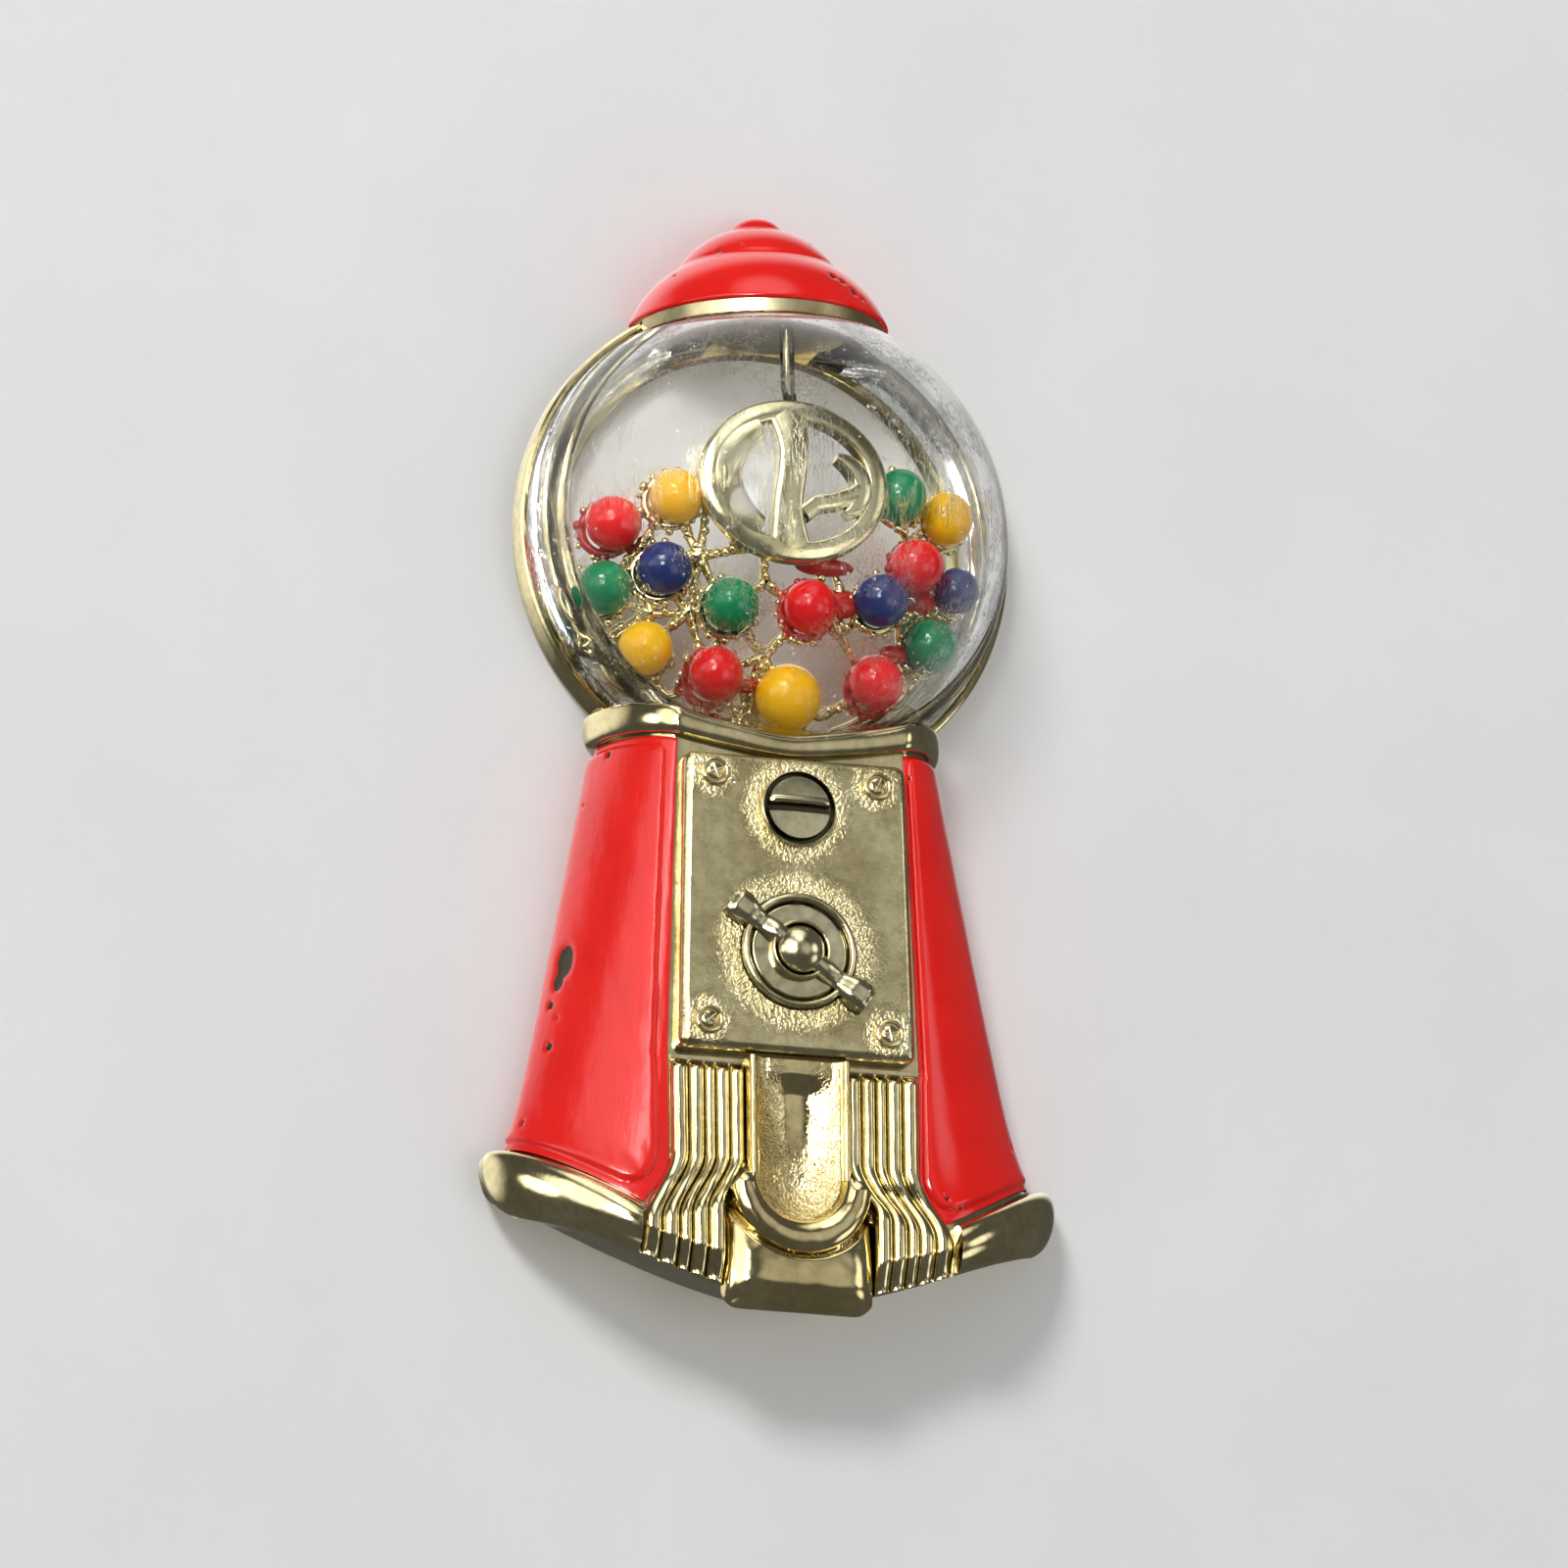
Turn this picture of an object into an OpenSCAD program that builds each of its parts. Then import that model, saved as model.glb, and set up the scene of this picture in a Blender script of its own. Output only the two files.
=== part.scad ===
// Brooch in the shape of a gumball machine, with a hinged pin-back in its hollow back.
// Front faces -Y, the back rim lies in the plane y = 0, +Z points to the cap.
// Heights z are measured from the lowest point of the chute lip and shifted to the
// origin, the middle of the pedestal's foot wall, by upright().

/* [Globe] */
// Outer radius of the bezel ring
ring_r = 12.57; // [12:0.01:13.5]
// Radial thickness of the lip that stands round the dome
ring_lip_t = 0.4; // [0.3:0.05:0.8]
// Depth of the ring's lip from the back plane
ring_lip_h = 1.5; // [1.2:0.1:2.2]
// Depth of the ledge that the dome sits on
ring_ledge_h = 0.9; // [0.6:0.1:1.1]
// Radial width of the ledge inside the lip
ring_ledge_w = 2.17; // [1.8:0.01:2.4]
// How far the ring's circle would run below the collar's upper edge
globe_sink = 1.52; // [1.2:0.02:1.8]
// Wall of the clear dome
dome_wall = 0.9; // [0.6:0.05:1.1]
// Radial width of the dome's thick foot rim
dome_foot_w = 1.7; // [1.4:0.1:1.8]
// Depth of the dome's thick foot rim
dome_foot_h = 1.3; // [0.8:0.1:1.6]

/* [Gumballs] */
// Radius of a gumball, as a share of the ring's radius
ball_share = 0.1074; // [0.09:0.0002:0.1076]
// Radius of the large gumball at the bottom, as a share of the ring's radius
big_ball_share = 0.127; // [0.11:0.001:0.135]
// Radius of the small gumball at the right, as a share of the ring's radius
small_ball_share = 0.0955; // [0.08:0.0005:0.099]
// Height of the pile's crown above the back plane
pile_crown_h = 6.2; // [5:0.1:6.2]
// Height of the pile's edge above the back plane
pile_edge_h = 2.6; // [2.2:0.1:3]
// Thickness of the openwork plate, as a share of a gumball's radius
lattice_share = 0.6; // [0.5:0.01:0.6]

/* [Medallion] */
// Half width of the oval medallion
medallion_a = 4.74; // [4:0.01:5]
// Half height of the oval medallion
medallion_b = 4.1; // [3.5:0.1:4.3]
// Height of the medallion's centre above the globe's centre
medallion_up = 1.7; // [1.2:0.1:2.2]
// Depth of the medallion's face from the back plane
medallion_h = 7.1; // [6.9:0.1:8]
// Thickness of the medallion
medallion_t = 0.8; // [0.5:0.1:1]
// Width of the medallion's border
medallion_border = 0.75; // [0.5:0.05:1.2]
// Width of the bar across the medallion
medallion_bar = 1.1; // [0.8:0.1:1.6]
// Radius of the posts behind the medallion
post_r = 0.4; // [0.3:0.05:0.5]
// Width of the rib that hangs the medallion from the cap
hanger_w = 0.9; // [0.6:0.1:1.4]

/* [Cap] */
// How far the neck band's lower edge lies below the top of the ring's circle
neck_drop = 2.47; // [2:0.01:2.6]
// Height of the bare neck band under the brim
neck_len = 0.9; // [0.6:0.05:1.2]
// Radius of the brim
brim_r = 6.47; // [6:0.01:7]
// Height of the step between brim and crown, above the brim's edge
brim_rise = 3.1; // [2.6:0.1:3.6]
// Radius of the crown at the step
crown_r = 4.0; // [3.6:0.1:4.2]
// Height of the crown, from the step to the knob
crown_rise = 1.95; // [1.6:0.05:2.4]
// Radius of the knob
knob_r = 1.2; // [1:0.05:1.6]
// Height of the knob
knob_rise = 0.75; // [0.5:0.05:1.2]
// Depth of the cap's own axis from the back plane
cap_axis_h = 0.5; // [0.2:0.1:1]
// Radius of the gold neck band
neck_r = 6.3; // [6:0.05:6.4]

/* [Pedestal] */
// Half width at the collar
top_half_w = 8.7; // [8.4:0.05:9]
// Half width at the foot, before the flare
foot_half_w = 13.05; // [12:0.05:14]
// Extra half width of the flare at the foot
flare_w = 0.75; // [0.3:0.05:1]
// Half width between the inner edges of the panels, at the collar
top_crease = 5.75; // [5.6:0.05:6]
// Half width between the inner edges of the panels at the foot, before their flare
foot_crease = 6.75; // [6.5:0.05:7.2]
// Extra half width of the flare between the panels at the foot
crease_flare = 1.25; // [0.8:0.05:1.4]
// Height of the foot rolls' upper edge, carried on to the middle
foot_z = 1.9; // [1.6:0.1:2.2]
// Height of the collar's lower edge at its middle
top_z = 28.2; // [28:0.1:29]
// Rise of the rolls' upper edge from the middle to the side
foot_rise = 6.4; // [5.6:0.1:7]
// Rise of the collar's lower edge from its middle to its ends
top_rise = 1.4; // [1:0.1:1.6]
// Depth of the panels' inner edges from the back plane
face_h = 5.6; // [5.2:0.1:6.2]
// Depth of the straight side wall
side_h = 0.5; // [0.45:0.05:0.8]
// Rise of the foot's underside from the front to the back rim
foot_draft = 1.2; // [0.6:0.1:1.3]
// Wall of the hollow casting
wall = 1.2; // [0.9:0.05:1.4]
// Thickness of the enamel
enamel_t = 0.35; // [0.2:0.05:0.5]

/* [Collar and foot] */
// Height of the collar's upper edge at its middle
collar_top_z = 29.35; // [29.2:0.05:29.8]
// Rise of the collar's upper edge from its middle to its ends
collar_rise = 1.9; // [1.6:0.1:2.2]
// How far the collar stands proud of the pedestal
collar_bulge = 0.3; // [0.2:0.05:0.6]
// How far the foot rolls stand proud of the pedestal
roll_bulge = 1.05; // [0.8:0.05:1.4]
// Height of the foot rolls' lower edge, carried on to the middle
roll_low_z = 0.25; // [0:0.05:0.5]
// Rise of the foot rolls' lower edge from the middle to the ends
roll_low_rise = 5.2; // [4.8:0.1:5.4]

/* [Front plate] */
// Half width of the plate at its upper edge
plate_top_w = 5.65; // [5.2:0.05:5.75]
// Half width of the plate at its lower edge
plate_low_w = 6.07; // [5.6:0.01:6.2]
// Height of the plate's upper edge
plate_top_z = 27.9; // [27.5:0.1:28]
// Height of the plate's lower edge
plate_low_z = 12.9; // [12.7:0.1:13.5]
// Thickness of the plate
plate_t = 1.0; // [0.8:0.1:1.4]
// Width of the plate's bevel
plate_bevel = 0.3; // [0.15:0.05:0.5]
// Radius of a screw head
screw_r = 0.82; // [0.6:0.02:0.9]
// Height of a screw head
screw_h = 0.25; // [0.15:0.05:0.4]
// Distance of a screw's centre from the plate's edges
screw_inset = 1.3; // [1.1:0.05:1.6]
// Height of the coin entry's centre
coin_z = 25.35; // [24.8:0.05:25.6]
// Radius of the coin entry
coin_r = 1.92; // [1.6:0.02:2.2]
// Height of the coin entry
coin_h = 0.5; // [0.3:0.05:0.8]
// Width of the coin slot
slot_w = 0.5; // [0.3:0.05:0.7]
// Height of the handle's centre
handle_z = 18.1; // [17.8:0.1:18.8]
// Outer radius of the dial ring
dial_r = 3.0; // [2.8:0.05:3.4]
// Width of the dial ring
dial_w = 0.5; // [0.3:0.05:0.7]
// Height of the dial ring
dial_h = 0.3; // [0.2:0.05:0.5]
// Radius of the handle's hub
hub_r = 1.42; // [1.2:0.02:1.6]
// Height of the handle's hub
hub_h = 1.05; // [0.8:0.05:1.3]
// Half length of the handle's bar
bar_half = 4.2; // [3.8:0.05:4.6]
// Width of the handle's bar at the hub
bar_w = 0.95; // [0.8:0.05:1.2]
// Width of the handle's bar at its ends
bar_end_w = 1.35; // [1.1:0.05:1.6]
// Height of the handle's bar
bar_h = 0.7; // [0.5:0.05:0.9]
// Tilt of the handle from level, down to the right
handle_tilt = 34.5; // [20:0.5:50]

/* [Apron and chute] */
// Thickness of the flutes' web on the pedestal's face
web_t = 0.15; // [0.1:0.05:0.3]
// Depth of the flutes' swell over the foot
swell_h = 0.75; // [0.5:0.05:0.9]
// Number of flutes on each side
flutes = 5; // [3:1:6]
// Height of the flutes' ridges
flute_h = 0.4; // [0.2:0.05:0.5]
// Upper end of the flutes, below the plate
apron_gap = 0.25; // [0.15:0.05:0.5]
// Half width of the chute block at the foot
block_half = 3.85; // [3.6:0.05:4]
// Height of the chute block's shoulders
block_top_z = 5.2; // [4.8:0.1:5.6]
// Depth of the chute block's front from the back plane
block_h = 6.9; // [6.7:0.1:7.4]
// Half width of the chute trough between the beads' middles
trough_half = 2.2; // [2:0.05:2.3]
// Height of the trough's bend above the block's shoulders
trough_bend = 2.2; // [1.6:0.1:2.6]
// Depth of the bead's middle beside the trough
trough_rim_h = 0.75; // [0.6:0.05:0.9]
// Depth of the bead's middle round the scoop
scoop_rim_h = 1.25; // [1:0.05:1.4]
// Thickness of the trough's floor
trough_floor = 0.35; // [0.25:0.05:0.5]
// Radius of the block's lower corners
block_corner = 0.9; // [0.5:0.1:1.4]
// Radius of the scoop's round lip, at the middle of its bead
lip_r = 2.85; // [2.6:0.05:3]
// Radius of the bead round the trough and the scoop
bead_r = 0.38; // [0.3:0.02:0.45]

/* [Pin finding] */
// Length of the base bar
base_len = 19; // [18:0.5:19.5]
// Width of the base bar
base_w = 4.5; // [4:0.1:5.5]
// Thickness of the base bar
base_t = 0.6; // [0.5:0.05:0.7]
// Height of the base bar's lower end
base_z = 6.2; // [6:0.1:6.4]
// Radius of the holes in the base bar
base_hole_r = 0.9; // [0.6:0.05:1.1]
// Depth of the stem's axis from the back plane
stem_h = 1.5; // [1.45:0.05:1.7]
// Radius of the stem
stem_r = 0.38; // [0.3:0.01:0.4]
// Length of the stem's point
stem_point = 2.2; // [1.5:0.1:3]
// Length of the stem's tip past the catch
tip_len = 0.9; // [0.6:0.1:1.4]
// Radius of the stem's eye
eye_r = 1.0; // [0.9:0.05:1.15]
// Thickness of the stem's eye
eye_t = 0.9; // [0.76:0.02:1.1]
// Radius of the rivet
rivet_r = 0.45; // [0.35:0.01:0.5]
// Thickness of each ear
ear_t = 0.45; // [0.35:0.05:0.6]
// Outer radius of the catch housing
catch_r = 1.38; // [1.35:0.01:1.44]
// Wall of the catch housing
catch_wall = 0.33; // [0.28:0.01:0.36]
// Length of the catch housing
catch_len = 2.2; // [1.8:0.1:3]
// Width of the foot that joins the catch to the bar
catch_foot_w = 2; // [1.6:0.1:2.4]
// Radius of the rotor's bore, round the stem
rotor_bore_r = 0.5; // [0.48:0.01:0.55]
// Length of the rotor's head, past the end of the bar
head_len = 0.8; // [0.6:0.05:1]
// Reach of the thumb lug from the rotor's axis
lug_reach = 2.2; // [1.8:0.1:2.3]

/* [Clearances] */
// Gap between pieces that are soldered, glued or painted on
seat_gap = 0.02; // [0.01:0.01:0.05]
// Running clearance on radius, in the hinge and the catch
run_gap = 0.05; // [0.03:0.01:0.08]
// Side clearance beside a moving piece
side_gap = 0.08; // [0.05:0.01:0.12]

/* [Hidden] */

gold = "goldenrod";
steel = "silver";
enamel_red = "red";

globe_z = collar_top_z + ring_r - globe_sink;     // centre of the globe
neck_z = globe_z + ring_r - neck_drop;
brim_z = neck_z + neck_len;
step_z = brim_z + brim_rise;
knob_z = step_z + crown_rise;
tip_z = knob_z + knob_rise;
medallion_z = globe_z + medallion_up;
ball_r = ball_share * ring_r;
lattice_t = lattice_share * ball_r;
dome_r = ring_r - ring_lip_t - seat_gap;          // outside of the dome
dome_base_h = ring_ledge_h + seat_gap;            // where the dome's foot sits
ledge_in_r = ring_r - ring_lip_t - ring_ledge_w;  // inner edge of the ring
dome_foot_r = dome_r - dome_foot_w;               // inside of the dome's foot rim
lattice_r = dome_foot_r - 5 * seat_gap;           // outer edge of the openwork plate
casting_h = face_h - enamel_t;                    // front of the bare casting
plate_back_h = casting_h + seat_gap;
plate_face_h = plate_back_h + plate_t;
cavity_h = casting_h - wall;                      // floor of the hollow back
base_front_h = cavity_h - seat_gap;
base_back_h = base_front_h - base_t;
apron_top_z = plate_low_z - apron_gap;
casting_foot_z = roll_low_z + wall / 6;           // lower edge of the casting at its middle
bow_power = 1.4;                                  // how the curved foot and collar lines rise
flare_power = 14;                                 // how suddenly the foot flares
crease_power = 18;                                // and the same for the panels' inner edges
round_power = 1.25;                               // above 1, the flanks are flatter than an ellipse
round_n = 64;
past = 2;                                         // how far a cut runs past a face

// The pile's crown is a ball segment: its radius and the depth of its centre
pile_reach = 0.875 * ring_r;
pile_rise = pile_crown_h - pile_edge_h;
pile_r = (pile_reach * pile_reach + pile_rise * pile_rise) / (2 * pile_rise);
pile_centre_h = pile_crown_h - pile_r;
lattice_front_r = pile_r - 0.37 * ball_r;
lattice_back_r = lattice_front_r - lattice_t;

// Gumballs: x, z and radius, in ring radii from the globe's centre
red_balls = [
    [-0.672, -0.036, ball_share], [0.077, -0.346, ball_share], [0.529, -0.127, ball_share],
    [-0.27, -0.605, ball_share], [0.378, -0.585, ball_share]
];
yellow_balls = [
    [-0.449, 0.064, ball_share], [0.684, 0.095, ball_share], [-0.537, -0.513, ball_share],
    [0.02, -0.676, big_ball_share]
];
green_balls = [
    [0.461, 0.143, ball_share], [-0.696, -0.282, ball_share], [-0.235, -0.354, ball_share],
    [0.613, -0.418, ball_share]
];
blue_balls = [
    [-0.489, -0.219, ball_share], [0.374, -0.286, ball_share], [0.728, -0.187, small_ball_share]
];
all_balls = concat(red_balls, yellow_balls, green_balls, blue_balls);

// Holes through the openwork plate, in the same way
lattice_holes = [
    [-0.342, -0.119, 0.06], [-0.151, -0.135, 0.064], [0.095, -0.127, 0.056],
    [0.334, -0.072, 0.06], [-0.374, -0.422, 0.064], [-0.088, -0.533, 0.052],
    [0.167, -0.509, 0.064], [0.227, -0.314, 0.036], [0.477, -0.39, 0.04],
    [-0.581, -0.374, 0.032], [-0.111, -0.748, 0.04], [0.207, -0.708, 0.048],
    [0.509, -0.605, 0.04]
];

// Outline of the openwork plate, in the same way
pile_outline = [
    [-0.8, 0.03], [-0.57, 0.1], [-0.41, 0.18], [-0.29, 0.05], [-0.14, -0.02], [0.14, -0.02],
    [0.29, 0.06], [0.45, 0.25], [0.6, 0.23], [0.8, 0.13], [0.88, -0.32], [0.88, -1.04],
    [-0.88, -1.04], [-0.88, -0.32]
];
lattice_foot_z = globe_z - 0.36 * ring_r;         // the lattice's foot rim ends here

function lerp(a, b, t) = a + (b - a) * t;
function steps(a, b, n) = [for (i = [0:n]) lerp(a, b, i / n)];
function ease(t) = t <= 0 ? 0 : t >= 1 ? 1 : t * t * (3 - 2 * t);
function rise(x, half) = pow(abs(x) / half, bow_power);

// Pedestal: t runs from 0 at the foot to 1 at the collar
function half_w(t) = lerp(foot_half_w, top_half_w, t) + flare_w * pow(1 - t, flare_power);
function crease(t) = lerp(foot_crease, top_crease, t) + crease_flare * pow(1 - t, crease_power);
function skin_z(x, t) =
    lerp(foot_z, top_z, t) + lerp(foot_rise, top_rise, t) * rise(x, half_w(t));

// A point of the pedestal's round flank, a flattened quarter ellipse from the panel's inner
// edge (angle 0) to the side (angle 90); inset counts inwards from the finished surface.
// With angle 0 and a side between -1 and 1 it is a point of the flat front.
function flank(side, angle, t, inset) =
    let (x = crease(t) + (half_w(t) - crease(t) - inset) * pow(sin(angle), round_power))
    [side * x, -(side_h + (face_h - side_h - inset) * pow(cos(angle), round_power)), skin_z(x, t)];
// Angles of the points along a flank, from the side to the angle a0
function round_angles(a0) = concat(steps(90, 10, 8), [a0]);

// One row across the whole pedestal
front_sides = [-0.75, -0.5, -0.25, 0, 0.25, 0.5, 0.75];
function backwards(list) = [for (i = [len(list) - 1:-1:0]) list[i]];
function body_row(t, inset) = concat(
    [for (a = round_angles(0)) flank(-1, a, t, inset)],
    [for (s = front_sides) flank(s, 0, t, inset)],
    [for (a = backwards(round_angles(0))) flank(1, a, t, inset)]
);
body_levels = [1, 0.9, 0.78, 0.66, 0.54, 0.42, 0.32, 0.24, 0.17, 0.12, 0.08, 0.05, 0.03, 0.01, 0];
function laid_at(row, y) = [for (p = row) [p[0], y, p[2]]];

// Closed solid between a front grid and a back grid of points, row by row from the
// top down and left to right as seen from the front
module skin(front, back) {
    rows = len(front);
    cols = len(front[0]);
    points = concat([for (r = front) each r], [for (r = back) each r]);
    size = rows * cols;
    function at(layer, i, j) = layer * size + i * cols + j;
    function quad(a, b, c, d) = [[a, b, c], [a, c, d]];
    faces = concat(
        [for (i = [0:rows - 2], j = [0:cols - 2])
            each quad(at(0, i, j), at(0, i, j + 1), at(0, i + 1, j + 1), at(0, i + 1, j))],
        [for (i = [0:rows - 2], j = [0:cols - 2])
            each quad(at(1, i, j), at(1, i + 1, j), at(1, i + 1, j + 1), at(1, i, j + 1))],
        [for (j = [0:cols - 2])
            each quad(at(0, 0, j), at(1, 0, j), at(1, 0, j + 1), at(0, 0, j + 1))],
        [for (j = [0:cols - 2])
            each quad(at(0, rows - 1, j), at(0, rows - 1, j + 1),
                      at(1, rows - 1, j + 1), at(1, rows - 1, j))],
        [for (i = [0:rows - 2])
            each quad(at(0, i, 0), at(0, i + 1, 0), at(1, i + 1, 0), at(1, i, 0))],
        [for (i = [0:rows - 2])
            each quad(at(0, i, cols - 1), at(1, i, cols - 1),
                      at(1, i + 1, cols - 1), at(0, i + 1, cols - 1))]
    );
    polyhedron(points = points, faces = faces);
}

// Round rod between two points, with a slightly swollen knuckle at its start
module rod(a, b, r) {
    d = b - a;
    translate(a) {
        rotate([0, acos(d[2] / norm(d)), atan2(d[1], d[0])]) cylinder(r = r, h = norm(d), $fn = 24);
        sphere(r = 1.08 * r, $fn = 24);
    }
}

// Moves heights that count from the chute lip to the origin
module upright() translate([0, 0, -(casting_foot_z + foot_draft + wall / 2)]) children();

// Turns a profile of radius and depth about the globe's axis
module about_globe() translate([0, 0, globe_z]) rotate([90, 0, 0])
    rotate_extrude($fn = 2 * round_n) children();

// Lays a flat outline, drawn in x and z, from depth h0 to depth h1
module plate_of(h0, h1) translate([0, -h0, 0]) rotate([90, 0, 0])
    linear_extrude(height = h1 - h0) children();

module at_front(x, z, h) translate([x, -h, z]) rotate([90, 0, 0]) children();

// The space above the collar and below the neck, cut along the collar's curve
module globe_bay() {
    reach = ring_r + past;
    plate_of(-past, globe_z) polygon(concat(
        [for (x = steps(-reach, reach, 28)) [x, collar_edge(x) + seat_gap]],
        [[reach, neck_z - seat_gap], [-reach, neck_z - seat_gap]]
    ));
}
function collar_edge(x) = collar_top_z + collar_rise * rise(x, top_half_w + collar_bulge);

// ---- cap ----
function arch(a, b, bulge, n) = let (d = b - a, out = [d[1], -d[0]] / norm(d))
    [for (u = steps(0, 1, n)) a + d * u + out * 4 * bulge * u * (1 - u)];

cap_outline = concat(
    arch([brim_r, brim_z], [crown_r + 0.15, step_z], 0.33, 8),
    arch([crown_r, step_z + 0.08], [knob_r + 0.25, knob_z], 0.36, 8),
    arch([knob_r, knob_z + 0.15], [0, tip_z], 0.3, 6)
);

module cap_turned(inset) intersection() {
    translate([0, -cap_axis_h, 0]) rotate_extrude($fn = 2 * round_n) polygon(concat(
        [[0, brim_z - inset]],
        [for (p = cap_outline) [max(0, p[0] - inset), p[1] - inset]]
    ));
    translate([-past - brim_r, -past - brim_r - cap_axis_h, brim_z])
        cube([2 * (past + brim_r), past + brim_r + cap_axis_h, tip_z]);
}

module cap_casting() color(gold) upright() difference() {
    union() {
        cap_turned(enamel_t + seat_gap);
        intersection() {
            translate([0, -cap_axis_h, neck_z])
                cylinder(r = neck_r, h = brim_z - neck_z, $fn = 2 * round_n);
            translate([-neck_r - past, -neck_r - past, 0])
                cube([2 * (neck_r + past), neck_r + past, tip_z]);
        }
    }
    translate([0, 0, neck_z + wall]) cylinder(r1 = neck_r - wall, r2 = knob_r,
        h = knob_z - neck_z - 2 * wall, $fn = round_n);
    ring_turned(seat_gap);
}

module cap_enamel() color(enamel_red) upright() difference() {
    cap_turned(0);
    translate([0, -cap_axis_h, 0]) rotate_extrude($fn = 2 * round_n) polygon(concat(
        [[0, brim_z - past], [brim_r - enamel_t, brim_z - past]],
        [for (p = cap_outline) [max(0, p[0] - enamel_t), p[1] - enamel_t]]
    ));
}

// ---- globe ----
module ring_turned(grow) about_globe() polygon([
    [ledge_in_r - grow, grow > 0 ? -past : 0], [ring_r + grow, grow > 0 ? -past : 0],
    [ring_r + grow, ring_lip_h + grow], [ring_r - ring_lip_t - grow, ring_lip_h + grow],
    [ring_r - ring_lip_t - grow, ring_ledge_h + grow], [ledge_in_r - grow, ring_ledge_h + grow]
]);

// The ring runs on behind the cap and is cut off by the collar's curve
module globe_ring() color(gold) upright() difference() {
    ring_turned(0);
    below_collar();
}

module globe_dome() color("white", 0.35) upright() intersection() {
    translate([0, -dome_base_h, globe_z]) difference() {
        sphere(r = dome_r, $fn = 2 * round_n);
        difference() {
            sphere(r = dome_r - dome_wall, $fn = 2 * round_n);
            rotate([90, 0, 0]) difference() {
                translate([0, 0, -past]) cylinder(r = dome_r, h = past + dome_foot_h);
                translate([0, 0, -2 * past])
                    cylinder(r = dome_foot_r, h = 4 * past + dome_foot_h, $fn = 2 * round_n);
            }
        }
        translate([-ring_r, 0, -ring_r]) cube(2 * ring_r);
    }
    globe_bay();
}

function pile_h(x, z) = pile_centre_h + sqrt(pile_r * pile_r - x * x - z * z);

module balls_of(list, extra = 0) for (b = list)
    translate([b[0] * ring_r, -pile_h(b[0] * ring_r, b[1] * ring_r), globe_z + b[1] * ring_r])
        sphere(r = b[2] * ring_r + extra, $fn = 48);

module red_gumballs() color(enamel_red) upright() balls_of(red_balls);
module yellow_gumballs() color("gold") upright() balls_of(yellow_balls);
module green_gumballs() color("green") upright() balls_of(green_balls);
module blue_gumballs() color("midnightblue") upright() balls_of(blue_balls);

module pile_shell(r, z0) translate([0, -pile_centre_h, globe_z]) sphere(r = r, $fn = 2 * round_n);

module gumball_lattice() color(gold) upright() difference() {
    union() {
        intersection() {
            difference() {
                pile_shell(lattice_front_r);
                pile_shell(lattice_back_r);
            }
            translate([0, 0, globe_z]) plate_of(dome_base_h, pile_crown_h) intersection() {
                polygon(ring_r * pile_outline);
                circle(r = lattice_r - seat_gap, $fn = 2 * round_n);
            }
        }
        intersection() {
            about_globe() translate([lattice_r - lattice_t, ring_ledge_h + seat_gap])
                square([lattice_t, 1.5 * lattice_t]);
            translate([-ring_r, -ring_r, 0]) cube([2 * ring_r, ring_r, lattice_foot_z]);
        }
    }
    balls_of(all_balls, seat_gap);
    for (h = lattice_holes) translate([h[0] * ring_r, past, globe_z + h[1] * ring_r])
        rotate([90, 0, 0]) cylinder(r = h[2] * ring_r, h = globe_z, $fn = 32);
    below_collar();
}

// Everything below the collar's upper edge
module below_collar() {
    reach = ring_r + past;
    plate_of(-past, globe_z) polygon(concat(
        [for (x = steps(-reach, reach, 28)) [x, collar_edge(x) + seat_gap]],
        [[reach, 0], [-reach, 0]]
    ));
}

function oval(a, b, n) = [for (i = [0:n - 1]) [a * cos(360 * i / n), b * sin(360 * i / n)]];

module medallion() color(gold) upright() union() {
    translate([0, 0, medallion_z]) plate_of(medallion_h - medallion_t, medallion_h) difference() {
        polygon(oval(medallion_a, medallion_b, round_n));
        difference() {
            polygon(oval(medallion_a - medallion_border, medallion_b - medallion_border, round_n));
            translate([-medallion_bar / 2, -medallion_b]) square([medallion_bar, 2 * medallion_b]);
        }
    }
    // hanger rib up to the neck, and the lug that joins it to the medallion
    translate([-hanger_w / 2, -(rib_h + rib_t / 2), rib_foot_z])
        cube([hanger_w, rib_t, neck_z - seat_gap - rib_foot_z]);
    translate([-hanger_w / 2, -(medallion_h - medallion_t / 2), rib_foot_z])
        cube([hanger_w, medallion_h - medallion_t / 2 - rib_h, medallion_border / 2]);
    // posts down to the openwork plate
    difference() {
        for (x = [-post_x, post_x]) translate([x, -(medallion_h - medallion_t / 2), post_z])
            rotate([-90, 0, 0])
                cylinder(r = post_r, h = medallion_h - pile_edge_h - medallion_t, $fn = 24);
        pile_shell(lattice_front_r + seat_gap);
    }
}
rib_foot_z = medallion_z + medallion_b - 0.7 * medallion_border;
rib_h = medallion_h - medallion_t - hanger_w;     // depth of the rib's middle
rib_t = 0.6 * medallion_t;
post_x = 0.55 * medallion_a;
post_z = medallion_z - 0.7 * medallion_b;

// ---- collar, pedestal and foot ----
// Half-round moulding on the casting's surface: hi and lo are its edge heights at each x.
// A column is its side, its angle on the flank, and 0 at the back plane or 1 elsewhere.
module moulding(columns, t, bulge, hi, lo) {
    around = steps(0, 180, 8);
    function out(p, push) = [
        p[0] * (crease(t) + (half_w(t) + push - crease(t)) * pow(sin(p[1]), round_power)),
        -p[2] * (side_h + (face_h + push - side_h) * pow(cos(p[1]), round_power))
    ];
    function row(f, push) = [for (p = columns) let (q = out(p, push))
        [q[0], q[1], lerp(hi(q[0]), lo(q[0]), (1 - cos(f)) / 2)]];
    skin([for (f = around) row(f, bulge * sin(f))],
         [for (f = around) row(f, seat_gap - enamel_t)]);
}

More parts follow.
